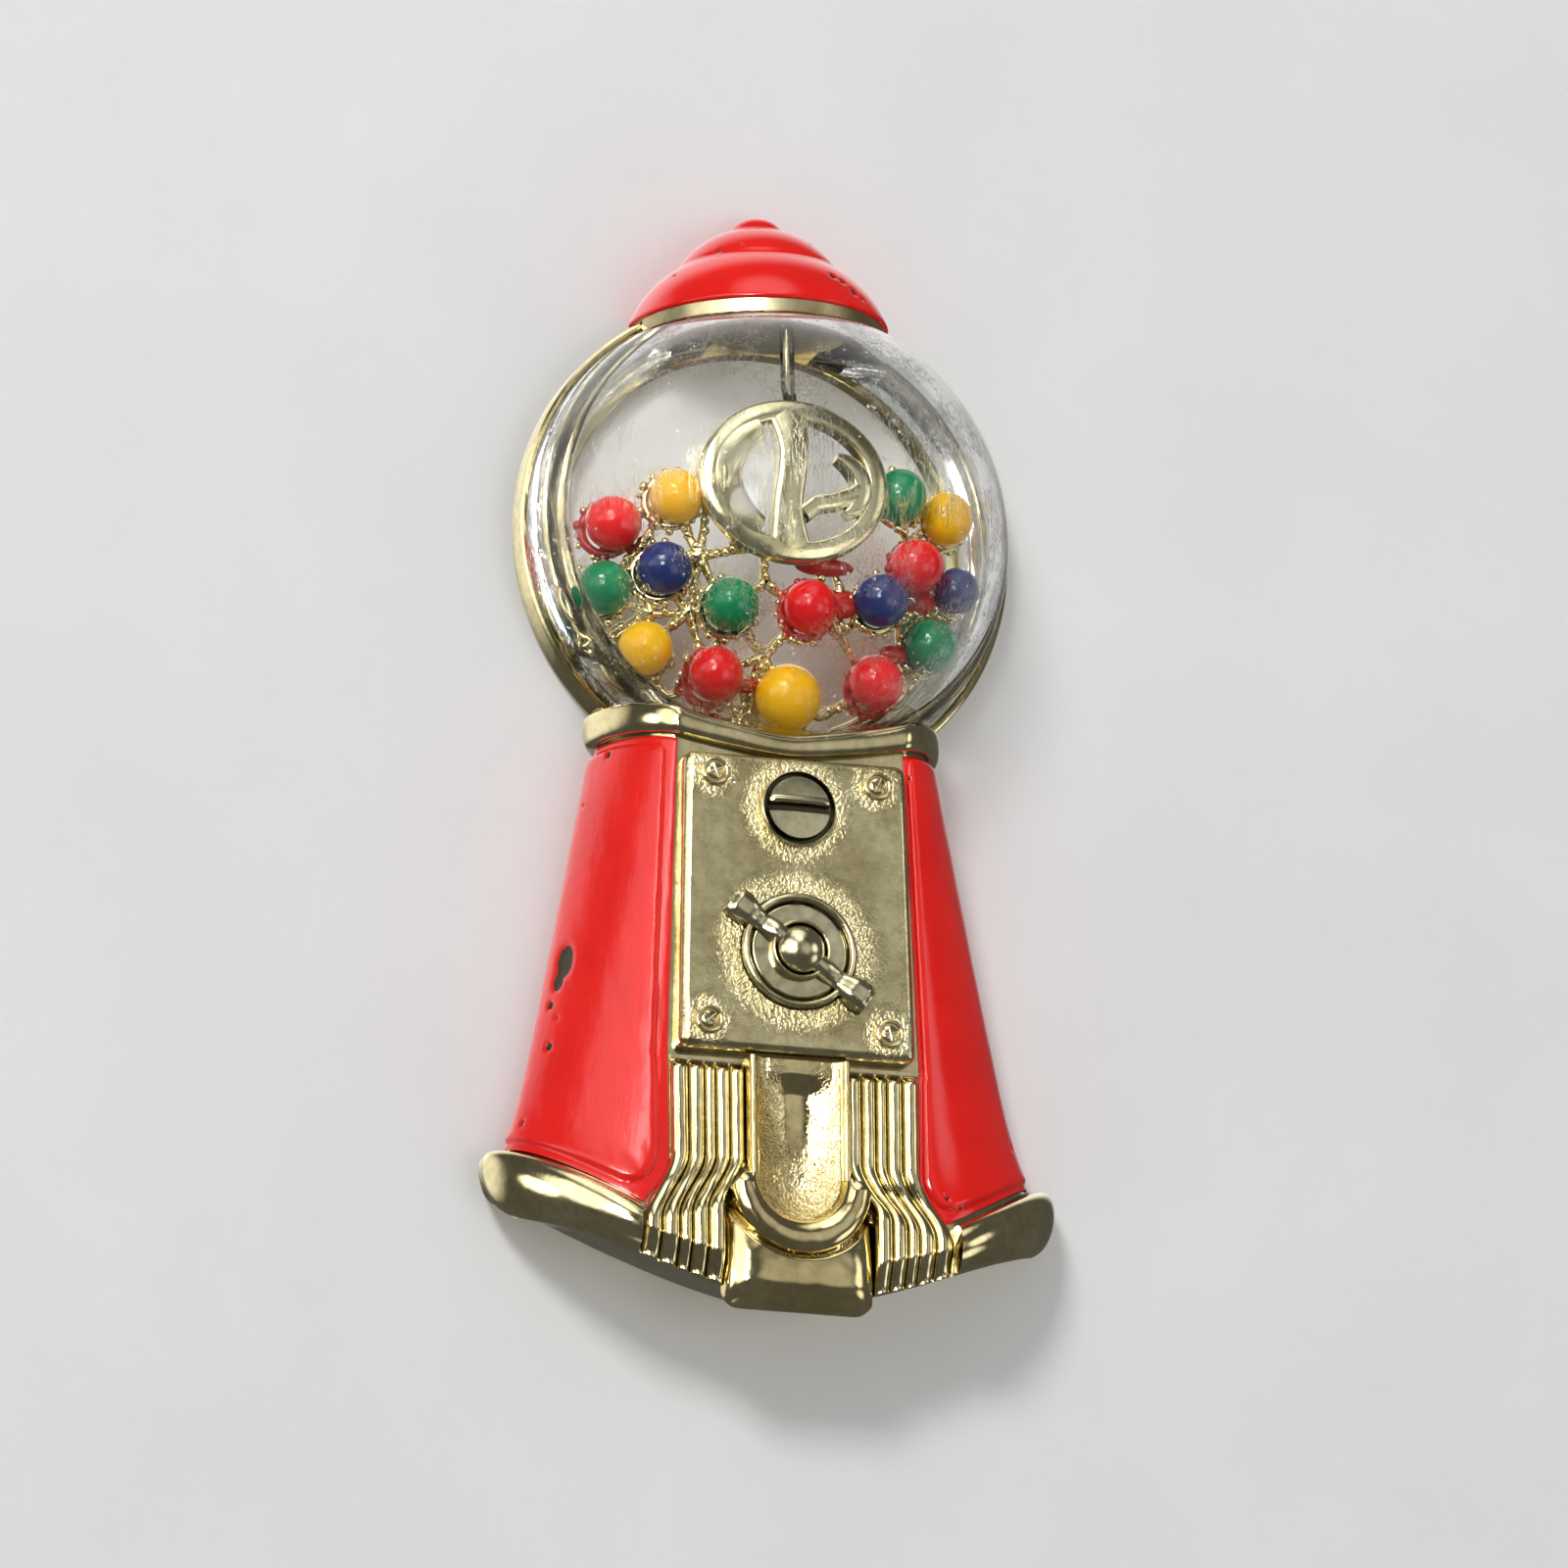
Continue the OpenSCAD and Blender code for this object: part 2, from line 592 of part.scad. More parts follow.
function flank_columns(a0) = concat([[-1, 90, 0]], [for (a = round_angles(a0)) [-1, a, 1]]);
function mirrored(columns) = [for (c = backwards(columns)) [-c[0], c[1], c[2]]];

module collar() color(gold) upright() moulding(
    concat(flank_columns(0), [for (s = front_sides) [s, 0, 1]], mirrored(flank_columns(0))),
    1, collar_bulge,
    function (x) collar_edge(x),
    function (x) skin_z(x, 1) + seat_gap
);

function roll_low(x) = roll_low_z + roll_low_rise * rise(x, foot_half_w + flare_w + roll_bulge);

module foot_rolls() color(gold) upright()
    for (columns = [flank_columns(3), mirrored(flank_columns(3))])
        moulding(columns, 0, roll_bulge,
            function (x) skin_z(x, 0) - seat_gap,
            function (x) roll_low(x));

// The casting runs on behind the collar, up to the globe, and behind the foot rolls
module pedestal_casting() {
    function to_globe(row, dz) = [for (p = row) [p[0], p[1], collar_edge(p[0]) + dz]];
    function to_foot(row, dz) =
        [for (p = row) [p[0], p[1], casting_foot_z - roll_low_z + roll_low(p[0]) + dz]];
    function rows(levels, inset, top_dz, foot_dz) = concat(
        [to_globe(body_row(1, inset), top_dz)],
        [for (t = levels) body_row(t, inset)],
        [to_foot(body_row(0, inset), foot_dz)]
    );
    outer = rows(body_levels, enamel_t, 0, 0);
    // the underside of the foot rises to the back, so its last row lies higher there
    outer_back = concat(
        [for (i = [0:len(outer) - 2]) laid_at(outer[i], 0)],
        [laid_at(to_foot(body_row(0, enamel_t), foot_draft), 0)]
    );
    inner = rows([for (t = body_levels) if (t < 0.95 && t > 0.04) t],
        enamel_t + wall, -wall, wall + foot_draft);
    color(gold) upright() difference() {
        skin(outer, outer_back);
        skin(inner, [for (r = inner) laid_at(r, past)]);
    }
}

// Enamel from the panel's inner edge round to just above the back plane
module enamel_panel(side) {
    heights = [for (t = body_levels) if (t > 0) min(t, 0.995)];
    back_edge = 0.3;
    angles = round_angles(2);
    function low(t, inset) = let (x = half_w(t) - inset) [side * x, -back_edge, skin_z(x, t)];
    function row(t, inset) = let (r = concat([low(t, inset)],
        [for (a = angles) flank(side, a, t, inset)]))
        side < 0 ? r : backwards(r);
    skin(
        [for (t = heights) row(t, 0)],
        [for (t = heights) row(t, enamel_t - seat_gap)]
    );
}

module left_enamel_panel() color(enamel_red) upright() enamel_panel(-1);
module right_enamel_panel() color(enamel_red) upright() enamel_panel(1);

// ---- front plate and its relief ----
module coin_plate() {
    function row(z, w, h) = [[-w, -h, z], [w, -h, z]];
    b = plate_bevel;
    color(gold) upright() skin(
        [row(plate_top_z - b, plate_top_w - b, plate_face_h),
         row(plate_low_z + b, plate_low_w - b, plate_face_h)],
        [row(plate_top_z, plate_top_w, plate_back_h),
         row(plate_low_z, plate_low_w, plate_back_h)]
    );
}

screw_places = [
    [-(plate_top_w - screw_inset - 0.2), plate_top_z - screw_inset + 0.2],
    [plate_top_w - screw_inset - 0.2, plate_top_z - screw_inset + 0.2],
    [-(plate_low_w - screw_inset), plate_low_z + screw_inset],
    [plate_low_w - screw_inset, plate_low_z + screw_inset]
];

module plate_screws() color(gold) upright() for (p = screw_places)
    at_front(p[0], p[1], plate_face_h + seat_gap) difference() {
        cylinder(r = screw_r, h = screw_h, $fn = 40);
        for (a = [20, 110]) rotate([0, 0, a]) translate([-screw_r * 0.7, -0.1, screw_h * 0.4])
            cube([screw_r * 1.4, 0.2, screw_h]);
    }

module coin_entry() color(gold) upright() at_front(0, coin_z, plate_face_h + seat_gap)
    difference() {
        cylinder(r = coin_r, h = coin_h, $fn = round_n);
        translate([-coin_r * 0.94, -slot_w / 2, coin_h * 0.35])
            cube([coin_r * 1.88, slot_w, coin_h]);
    }

module handle_outline(extra) {
    for (side = [0, 180]) rotate([0, 0, side]) polygon([
        [0, -bar_w / 2 - extra], [bar_half * 0.6, -bar_w / 2 - extra],
        [bar_half + extra, -bar_end_w / 2 - extra], [bar_half + extra, bar_end_w / 2 + extra],
        [bar_half * 0.6, bar_w / 2 + extra], [0, bar_w / 2 + extra]
    ]);
    circle(r = hub_r + extra, $fn = round_n);
}

module dial_ring() color(gold) upright() at_front(0, handle_z, plate_face_h + seat_gap)
    linear_extrude(height = dial_h) difference() {
        circle(r = dial_r, $fn = round_n);
        circle(r = dial_r - dial_w, $fn = round_n);
        rotate([0, 0, -handle_tilt]) handle_outline(0.1);
    }

module turn_handle() color(gold) upright() at_front(0, handle_z, plate_face_h + seat_gap)
    rotate([0, 0, -handle_tilt]) {
        linear_extrude(height = bar_h) handle_outline(0);
        dome_rad = (hub_r * hub_r + pow(hub_h - bar_h, 2)) / (2 * (hub_h - bar_h));
        intersection() {
            translate([0, 0, hub_h - dome_rad]) sphere(r = dome_rad, $fn = round_n);
            cylinder(r = hub_r, h = hub_h, $fn = round_n);
        }
    }

// ---- apron and chute ----
apron_in_top = trough_half + bead_r + seat_gap;
apron_out_top = 0.94 * foot_crease;
apron_in_low = block_half + seat_gap;
apron_out_low = foot_crease + crease_flare - seat_gap;
// Where the flutes leave the face and where they reach the foot, along their length,
// beside the chute and beside the panel
function apron_share(z, x) = (apron_top_z - z) / (apron_top_z - roll_low(x));
apron_in_bend = [for (z = [block_top_z + trough_bend, block_top_z + 2 * seat_gap])
    apron_share(z, apron_in_low)];
apron_out_bend = [for (z = [block_top_z + trough_bend, block_top_z - trough_bend / 2])
    apron_share(z, apron_out_low)];

module apron_side(side) {
    levels = [0, 0.12, 0.3, 0.45, 0.52, 0.58, 0.64, 0.7, 0.76, 0.82, 0.88, 0.94, 1];
    across = steps(0, 1, 4 * flutes);
    function shift(u, v) = let (b = lerp(apron_in_bend, apron_out_bend, u))
        ease((v - b[0]) / (b[1] - b[0]));
    function x_at(u, v) = lerp(
        lerp(apron_in_top, apron_out_top, u), lerp(apron_in_low, apron_out_low, u), shift(u, v));
    function z_at(u, v) = lerp(apron_top_z, roll_low(x_at(u, 1)) + seat_gap, v);
    function swell(u, v) =
        web_t + swell_h * shift(u, v) * (1 - 0.75 * ease((v - 0.86) / 0.14));
    function ridge(u) = flute_h * abs(sin(180 * flutes * u));
    function slope(u, v) = 0.6 * swell_h * u * shift(u, v);
    function row(v) = [for (u = across)
        [side * x_at(u, v), -(casting_h + swell(u, v) + ridge(u) - slope(u, v)), z_at(u, v)]];
    function ordered(r) = side > 0 ? r : backwards(r);
    front = [for (v = levels) ordered(row(v))];
    skin(front, [for (r = front) laid_at(r, -(casting_h + seat_gap))]);
}

module fluted_apron() color(gold) upright() {
    apron_side(-1);
    apron_side(1);
}

module chute_scoop() color(gold) upright() {
    back_h = casting_h + seat_gap;
    bend_z = block_top_z + trough_bend;
    bank = 0.8 * bead_r;
    c = block_corner;
    for (side = [-1, 1]) {
        top = [side * trough_half, -(back_h + trough_rim_h), apron_top_z - bead_r];
        bend = [side * trough_half, -(back_h + trough_rim_h), bend_z];
        rod(top, bend, bead_r);
        rod(bend, [side * lip_r, -(back_h + scoop_rim_h), block_top_z], bead_r);
        plate_of(back_h, back_h + trough_rim_h)
            translate([side * trough_half - bank, block_top_z - bead_r])
                square([2 * bank, apron_top_z - block_top_z]);
    }
    translate([0, -(back_h + scoop_rim_h), block_top_z]) rotate([90, 0, 0]) rotate([0, 0, 180])
        rotate_extrude(angle = 180, $fn = round_n) translate([lip_r, 0])
            circle(r = bead_r, $fn = 24);
    plate_of(back_h, back_h + trough_floor)
        translate([-trough_half - bank, block_top_z - bead_r])
            square([2 * (trough_half + bank), apron_top_z - block_top_z + bead_r]);
    // scoop block with its round bowl
    difference() {
        plate_of(back_h, block_h) polygon(concat(
            [[block_half, block_top_z], [-block_half, block_top_z]],
            [for (a = steps(180, 270, 8)) [c - block_half, c] + c * [cos(a), sin(a)]],
            [for (a = steps(270, 360, 8)) [block_half - c, c] + c * [cos(a), sin(a)]]
        ));
        plate_of(back_h + trough_floor, block_h + past)
            translate([0, block_top_z]) circle(r = lip_r, $fn = round_n);
    }
}

// ---- pin finding in the hollow back ----
base_top_z = base_z + base_len;
pivot_z = base_top_z - 1.3 * eye_r;
catch_z = base_z;
stem_tip_z = catch_z - head_len - tip_len;
ear_gap = eye_t + 2 * side_gap;
rotor_r = catch_r - catch_wall - run_gap;
catch_slot = 2 * stem_r + 2 * side_gap;

module pin_base_bar() color(steel) upright() difference() {
    translate([-base_w / 2, -base_front_h, base_z]) cube([base_w, base_t, base_len]);
    for (z = [base_z + base_len * 0.32, base_z + base_len * 0.68])
        translate([0, 0, z]) rotate([90, 0, 0])
            cylinder(r = base_hole_r, h = base_front_h + past, $fn = 48);
}

module pin_joint() color(steel) upright() difference() {
    union() {
        for (s = [-1, 1]) translate([s * (ear_gap + ear_t) / 2 - ear_t / 2, -stem_h, pivot_z]) {
            rotate([0, 90, 0]) cylinder(r = eye_r + 0.1, h = ear_t, $fn = 48);
            translate([0, -(base_back_h - stem_h) + seat_gap, -eye_r - 0.1])
                cube([ear_t, base_back_h - stem_h - seat_gap, 2 * (eye_r + 0.1)]);
        }
        translate([-ear_gap / 2 - ear_t, -base_back_h + seat_gap, pivot_z - eye_r - 0.1])
            cube([ear_gap + 2 * ear_t, 0.4, 2 * (eye_r + 0.1)]);
    }
    translate([-base_w, -stem_h, pivot_z]) rotate([0, 90, 0])
        cylinder(r = rivet_r + 0.01, h = 2 * base_w, $fn = 40);
}

module joint_rivet() color(steel) upright() translate([0, -stem_h, pivot_z]) rotate([0, 90, 0]) {
    span = ear_gap + 2 * ear_t + 2 * seat_gap;
    translate([0, 0, -span / 2]) cylinder(r = rivet_r, h = span, $fn = 40);
    for (s = [-1, 1]) translate([0, 0, s > 0 ? span / 2 : -span / 2 - 0.2])
        cylinder(r = rivet_r + 0.2, h = 0.2, $fn = 40);
}

module pin_stem() color(steel) upright() difference() {
    union() {
        translate([-eye_t / 2, -stem_h, pivot_z]) rotate([0, 90, 0])
            cylinder(r = eye_r, h = eye_t, $fn = 48);
        translate([0, -stem_h, stem_tip_z + stem_point])
            cylinder(r = stem_r, h = pivot_z - stem_tip_z - stem_point, $fn = 40);
        translate([0, -stem_h, stem_tip_z])
            cylinder(r1 = 0.06, r2 = stem_r, h = stem_point, $fn = 40);
    }
    translate([-base_w, -stem_h, pivot_z]) rotate([0, 90, 0])
        cylinder(r = rivet_r + run_gap, h = 2 * base_w, $fn = 40);
}

module catch_housing() color(steel) upright() {
    mouth = 100;
    difference() {
        union() {
            translate([0, -stem_h, catch_z]) cylinder(r = catch_r, h = catch_len, $fn = round_n);
            translate([-catch_foot_w / 2, -base_back_h + seat_gap, catch_z])
                cube([catch_foot_w, base_back_h - stem_h - seat_gap, catch_len]);
        }
        translate([0, -stem_h, catch_z - past])
            cylinder(r = catch_r - catch_wall, h = catch_len + 2 * past, $fn = round_n);
        // mouth for the stem, open to the back
        translate([0, -stem_h, catch_z - past]) linear_extrude(height = catch_len + 2 * past)
            polygon([[0, 0], [past * tan(mouth / 2), past], [-past * tan(mouth / 2), past]]);
    }
}

module catch_rotor() color(steel) upright() translate([0, -stem_h, 0]) difference() {
    union() {
        translate([0, 0, catch_z - side_gap])
            cylinder(r = rotor_r, h = catch_len + 2 * side_gap, $fn = round_n);
        translate([0, 0, catch_z - side_gap - head_len])
            cylinder(r = catch_r, h = head_len, $fn = round_n);
        translate([0, -0.35, catch_z - side_gap - head_len]) cube([lug_reach - 0.35, 0.7, head_len]);
        translate([lug_reach - 0.35, 0, catch_z - side_gap - head_len])
            cylinder(r = 0.35, h = head_len, $fn = 32);
        translate([0, 0, catch_z + catch_len + side_gap])
            cylinder(r = rotor_r + 0.2, h = 0.25, $fn = round_n);
    }
    translate([0, 0, catch_z - head_len - past])
        cylinder(r = rotor_bore_r, h = catch_len + head_len + 2 * past, $fn = 40);
    translate([-catch_slot / 2, 0, catch_z - head_len - past])
        cube([catch_slot, catch_r + past, catch_len + head_len + 2 * past]);
}

cap_casting();
cap_enamel();
globe_ring();
gumball_lattice();
medallion();
red_gumballs();
yellow_gumballs();
green_gumballs();
blue_gumballs();
globe_dome();
collar();
pedestal_casting();
foot_rolls();
left_enamel_panel();
right_enamel_panel();
coin_plate();
plate_screws();
coin_entry();
dial_ring();
turn_handle();
fluted_apron();
chute_scoop();
pin_base_bar();
pin_joint();
joint_rivet();
pin_stem();
catch_housing();
catch_rotor();
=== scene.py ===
"""Looks of the gumball machine brooch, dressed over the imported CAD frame.

All shapes are written in millimetres as (x, h, z): x to the viewer's right, h towards the
viewer from the back rim, z up from the chute lip. world() turns them into the row frame.
"""
import bmesh
import bpy
import math
import random
import numpy as np
from mathutils import Matrix, Vector

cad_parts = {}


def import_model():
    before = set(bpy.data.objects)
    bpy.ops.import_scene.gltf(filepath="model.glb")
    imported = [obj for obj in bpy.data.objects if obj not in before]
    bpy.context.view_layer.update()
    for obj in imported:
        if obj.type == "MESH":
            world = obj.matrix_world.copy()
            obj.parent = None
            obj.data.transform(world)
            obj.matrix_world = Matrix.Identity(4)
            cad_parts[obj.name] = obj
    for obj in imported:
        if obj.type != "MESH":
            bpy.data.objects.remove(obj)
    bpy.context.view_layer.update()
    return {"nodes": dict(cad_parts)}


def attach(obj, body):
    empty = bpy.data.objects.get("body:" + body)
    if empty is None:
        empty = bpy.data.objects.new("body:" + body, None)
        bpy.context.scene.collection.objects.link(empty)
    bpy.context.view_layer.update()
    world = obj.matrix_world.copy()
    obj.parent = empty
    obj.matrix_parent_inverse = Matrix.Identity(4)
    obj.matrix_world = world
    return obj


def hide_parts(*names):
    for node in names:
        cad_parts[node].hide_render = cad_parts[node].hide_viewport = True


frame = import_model()
nodes = frame["nodes"]

MM = 0.001
# how far the row frame's origin lies above the chute lip, in mm
LIP_TO_ORIGIN = 2.25


# ---------------------------------------------------------------- shape helpers
def world(points):
    """From (x, h, z) in mm to the row frame in metres."""
    p = np.asarray(points, float).reshape(-1, 3)
    return np.stack([p[:, 0], -p[:, 1], p[:, 2] - LIP_TO_ORIGIN], axis=1) * MM


def smooth(a, b, x):
    """Soft step from 0 at x = a to 1 at x = b, which may be the lower one."""
    t = np.clip((np.asarray(x, float) - a) / (b - a), 0, 1)
    return t * t * (3 - 2 * t)


def dome_of(u):
    """1 where u is 0, falling to 0 at u = 1 as a quarter circle does."""
    return np.sqrt(np.clip(1 - u ** 2, 0, 1))


def peak(x, at, width):
    """Bell curve, 1 at that place."""
    return np.exp(-((x - at) / width) ** 2)


def waves(points, size, seed):
    """Smooth wobble between about -1 and 1, with features of that size in mm."""
    count = 7
    rng = np.random.RandomState(seed)
    p = np.asarray(points, float)
    out = np.zeros(p.shape[:-1])
    for _ in range(count):
        d = rng.normal(size=3)
        d *= rng.uniform(0.6, 1.5) * 2 * math.pi / (size * np.linalg.norm(d))
        out += np.sin(p @ d + rng.uniform(0, 2 * math.pi))
    return out / count * 1.4


def xhz(x, h, z):
    """Points from their coordinates, any of which may be one number for all."""
    return np.stack(np.broadcast_arrays(x, h, z), -1)


def flat_waves(x, z, size, seed):
    return waves(xhz(x, z, 0), size, seed)


def wobbled(points, size, seed, amount, clear=-1.0):
    """Points moved by waves, that much in x, h and z, where they lie in front of depth clear."""
    return points + (points[..., 1:2] > clear) * waves(points, size, seed)[..., None] * np.array(amount)


def linked_mesh(name, verts, faces):
    me = bpy.data.meshes.new(name)
    me.from_pydata(np.asarray(verts).tolist(), [], faces)
    ob = bpy.data.objects.new(name, me)
    bpy.context.scene.collection.objects.link(ob)
    return ob


def clean_mesh(ob, sharp):
    """Merges doubled points, turns faces outwards and marks hard edges."""
    bm = bmesh.new()
    bm.from_mesh(ob.data)
    bmesh.ops.remove_doubles(bm, verts=bm.verts, dist=1e-8)
    bmesh.ops.recalc_face_normals(bm, faces=bm.faces)
    bm.to_mesh(ob.data)
    bm.free()
    ob.data.polygons.foreach_set("use_smooth", [True] * len(ob.data.polygons))
    ob.data.set_sharp_from_angle(angle=math.radians(sharp))
    ob.data.update()


class Shape:
    """A mesh gathered in mm: v points, f faces, m material of each face, a mask of each point."""

    def __init__(self):
        self.v, self.f, self.m, self.a = [], [], [], []
        self.n = 0

    def add(self, points, faces=(), mat=0, mask=None):
        p = np.asarray(points, float).reshape(-1, 3)
        self.v.append(p)
        self.a.append(np.zeros(len(p)) if mask is None else np.asarray(mask, float).reshape(-1))
        self.f += [tuple(i + self.n for i in f) for f in faces]
        self.m += [mat] * len(faces)
        first = self.n
        self.n += len(p)
        return first

    def face(self, ids, mat=0):
        self.f.append(tuple(ids))
        self.m.append(mat)

    def grid(self, p, wrap=False, flip=False, mat=0, mask=None):
        """Faces of a rows x columns grid. Rows run down and columns to the right."""
        p = np.asarray(p, float)
        r, c = p.shape[:2]
        faces = []
        for i in range(r - 1):
            for j in range(c if wrap else c - 1):
                k = (j + 1) % c
                q = (i * c + j, (i + 1) * c + j, (i + 1) * c + k, i * c + k)
                faces.append(q[::-1] if flip else q)
        return self.add(p, faces, mat, mask)

    def shell(self, front, back, mask=None, back_mat=0):
        """Closed sheet between two grids of one size. back_mat also covers its edges."""
        r, c = front.shape[:2]
        a = self.grid(front, mask=mask)
        b = self.grid(back, flip=True, mat=back_mat, mask=mask)
        loop = ([(0, j) for j in range(c)] + [(i, c - 1) for i in range(1, r)]
                + [(r - 1, j) for j in range(c - 2, -1, -1)] + [(i, 0) for i in range(r - 2, 0, -1)])
        ids = [i * c + j for i, j in loop]
        for p, q in zip(ids, ids[1:] + ids[:1]):
            self.face((a + p, a + q, b + q, b + p), back_mat)

    def tube(self, path, radius, sides=12, ends=True, mask=None):
        """Round bar along a path of points, with a radius or one radius per point."""
        path = np.asarray(path, float)
        n = len(path)
        rad = np.broadcast_to(np.asarray(radius, float), (n,))
        d = np.gradient(path, axis=0)
        d /= np.linalg.norm(d, axis=1)[:, None]
        up = np.array([0.13, 0.9, 0.21]) if abs(d[:, 1]).max() < 0.85 else np.array([0.9, 0.1, 0.3])
        side = np.cross(d, up)
        side /= np.linalg.norm(side, axis=1)[:, None]
        top = np.cross(side, d)
        ang = np.linspace(0, 2 * math.pi, sides, endpoint=False)
        hoop = (path[:, None, :] + rad[:, None, None]
                * (np.cos(ang)[None, :, None] * side[:, None, :]
                   + np.sin(ang)[None, :, None] * top[:, None, :]))
        first = self.grid(hoop, wrap=True, mask=None if mask is None else np.repeat(mask, sides))
        if ends:
            last = first + (n - 1) * sides
            self.face(range(first, first + sides))
            self.face(range(last + sides - 1, last - 1, -1))

    def ball(self, centre, r, rows, cols, squash=(1, 1, 1), mask=0.0):
        ph = np.linspace(0, math.pi, rows + 1)[1:-1]
        th = np.linspace(0, 2 * math.pi, cols, endpoint=False)
        ph = ph[:, None]
        unit = xhz(np.sin(ph) * np.cos(th), np.sin(ph) * np.sin(th), np.cos(ph))
        c = np.asarray(centre, float)
        pole = np.array([0, 0, r]) * np.asarray(squash)
        first = self.grid(unit * r * squash + c, wrap=True, mask=np.full((rows - 1) * cols, mask))
        tip = self.add([c + pole, c - pole], mask=[mask, mask])
        last = first + (rows - 2) * cols
        for j in range(cols):
            k = (j + 1) % cols
            self.face((tip, first + j, first + k))
            self.face((tip + 1, last + k, last + j))

    def lathe(self, profile, cx, cz, cols):
        """Turns (radius, h) about an axis that points at the viewer."""
        pr = np.asarray(profile, float)
        a = np.linspace(0, 2 * math.pi, cols, endpoint=False)
        return self.grid(xhz(cx + pr[:, :1] * np.cos(a), pr[:, 1:2], cz + pr[:, :1] * np.sin(a)), wrap=True)

    def make(self, name, mats, replaces, sharp=50):
        """Makes the piece, on the brooch's body and in place of those CAD nodes."""
        ob = linked_mesh(name, world(np.concatenate(self.v)), self.f)
        for m in mats:
            ob.data.materials.append(m)
        ob.data.polygons.foreach_set("material_index", self.m)
        at = ob.data.attributes.new("mask", "FLOAT", "POINT")
        at.data.foreach_set("value", np.concatenate(self.a).astype(np.float32))
        ob.data.validate()
        ob.data.update()
        clean_mesh(ob, sharp)
        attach(ob, "brooch")
        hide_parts(*replaces)
        return ob


# ---------------------------------------------------------------- sizes, as in the CAD
GLOBE_Z = 40.4
RING_R, LIP_T, LIP_H, LEDGE_H, LEDGE_IN = 12.57, 0.4, 1.5, 0.9, 10.0
GAP = 0.02
DOME_R = RING_R - LIP_T - GAP
DOME_BASE = LEDGE_H + GAP
DOME_WALL, DOME_FOOT_W, DOME_FOOT_H = 0.9, 1.7, 1.3
NECK_Z, BRIM_Z, STEP_Z, KNOB_Z, TIP_Z = 50.5, 51.4, 54.5, 56.45, 57.2
TOP_W, FOOT_W, FLARE = 8.7, 13.05, 0.75
TOP_CREASE, FOOT_CREASE, CREASE_FLARE = 5.75, 6.75, 1.25
FOOT_Z, FOOT_RISE, TOP_Z, TOP_RISE = 1.9, 6.4, 28.2, 1.4
FACE_H, SIDE_H, WALL, ENAMEL, FOOT_DRAFT = 5.6, 0.5, 1.2, 0.35, 1.2
ROUND_POWER = 1.25
CASTING_H = FACE_H - ENAMEL
COLLAR_Z, COLLAR_RISE, COLLAR_BULGE = 29.35, 1.9, 0.3
ROLL_Z, ROLL_RISE, ROLL_BULGE = 0.25, 5.2, 1.05
# apron: its top, its outer edge at top and foot, and the shares of its height where that bends
APRON_TOP = 12.65
APRON_OUT = (6.345, 7.98)
OUT_BEND = (0.515, 0.839)
PLATE_H = CASTING_H + GAP + 1.0


def rise(x, half):
    """How a level line climbs towards the sides, 1 at x = half."""
    return (np.abs(x) / half) ** 1.4


# t is the level on the pedestal: 0 at the foot, 1 under the collar
def half_w(t):
    return FOOT_W + (TOP_W - FOOT_W) * t + FLARE * np.clip(1 - t, 0, 1) ** 14


def crease(t):
    """Half width of the flat front."""
    return FOOT_CREASE + (TOP_CREASE - FOOT_CREASE) * t + CREASE_FLARE * np.clip(1 - t, 0, 1) ** 18


def skin_z(x, t):
    """Height of level t at that x."""
    return (FOOT_Z + (TOP_Z - FOOT_Z) * t
            + (FOOT_RISE + (TOP_RISE - FOOT_RISE) * t) * rise(x, half_w(t)))


def collar_edge(x):
    return COLLAR_Z + COLLAR_RISE * rise(x, TOP_W + COLLAR_BULGE)


def roll_low(x):
    return ROLL_Z + ROLL_RISE * rise(x, FOOT_W + FLARE + ROLL_BULGE)


def section(t, inset, cols):
    """(x, h) of points round the pedestal at level t. cols: (side, angle in degrees, share)."""
    c = np.asarray(cols, float)
    sin = np.clip(np.sin(np.radians(c[:, 1])), 0, 1) ** ROUND_POWER
    cos = np.clip(np.cos(np.radians(c[:, 1])), 0, 1) ** ROUND_POWER
    x = c[:, 0] * (crease(t) + (half_w(t) - crease(t) - inset) * sin)
    h = c[:, 2] * (SIDE_H + (FACE_H - SIDE_H - inset) * cos)
    return x, h


def round_columns(n_side, n_front):
    """Columns for section() from the left back rim round the front to the right one."""
    left = [(-1, 90, 0)] + [(-1, a, 1) for a in np.linspace(90, 0, n_side)]
    mid = [(s, 0, 1) for s in np.linspace(-1, 1, n_front)[1:-1]]
    right = [(1, a, 1) for a in np.linspace(0, 90, n_side)] + [(1, 90, 0)]
    return left + mid + right


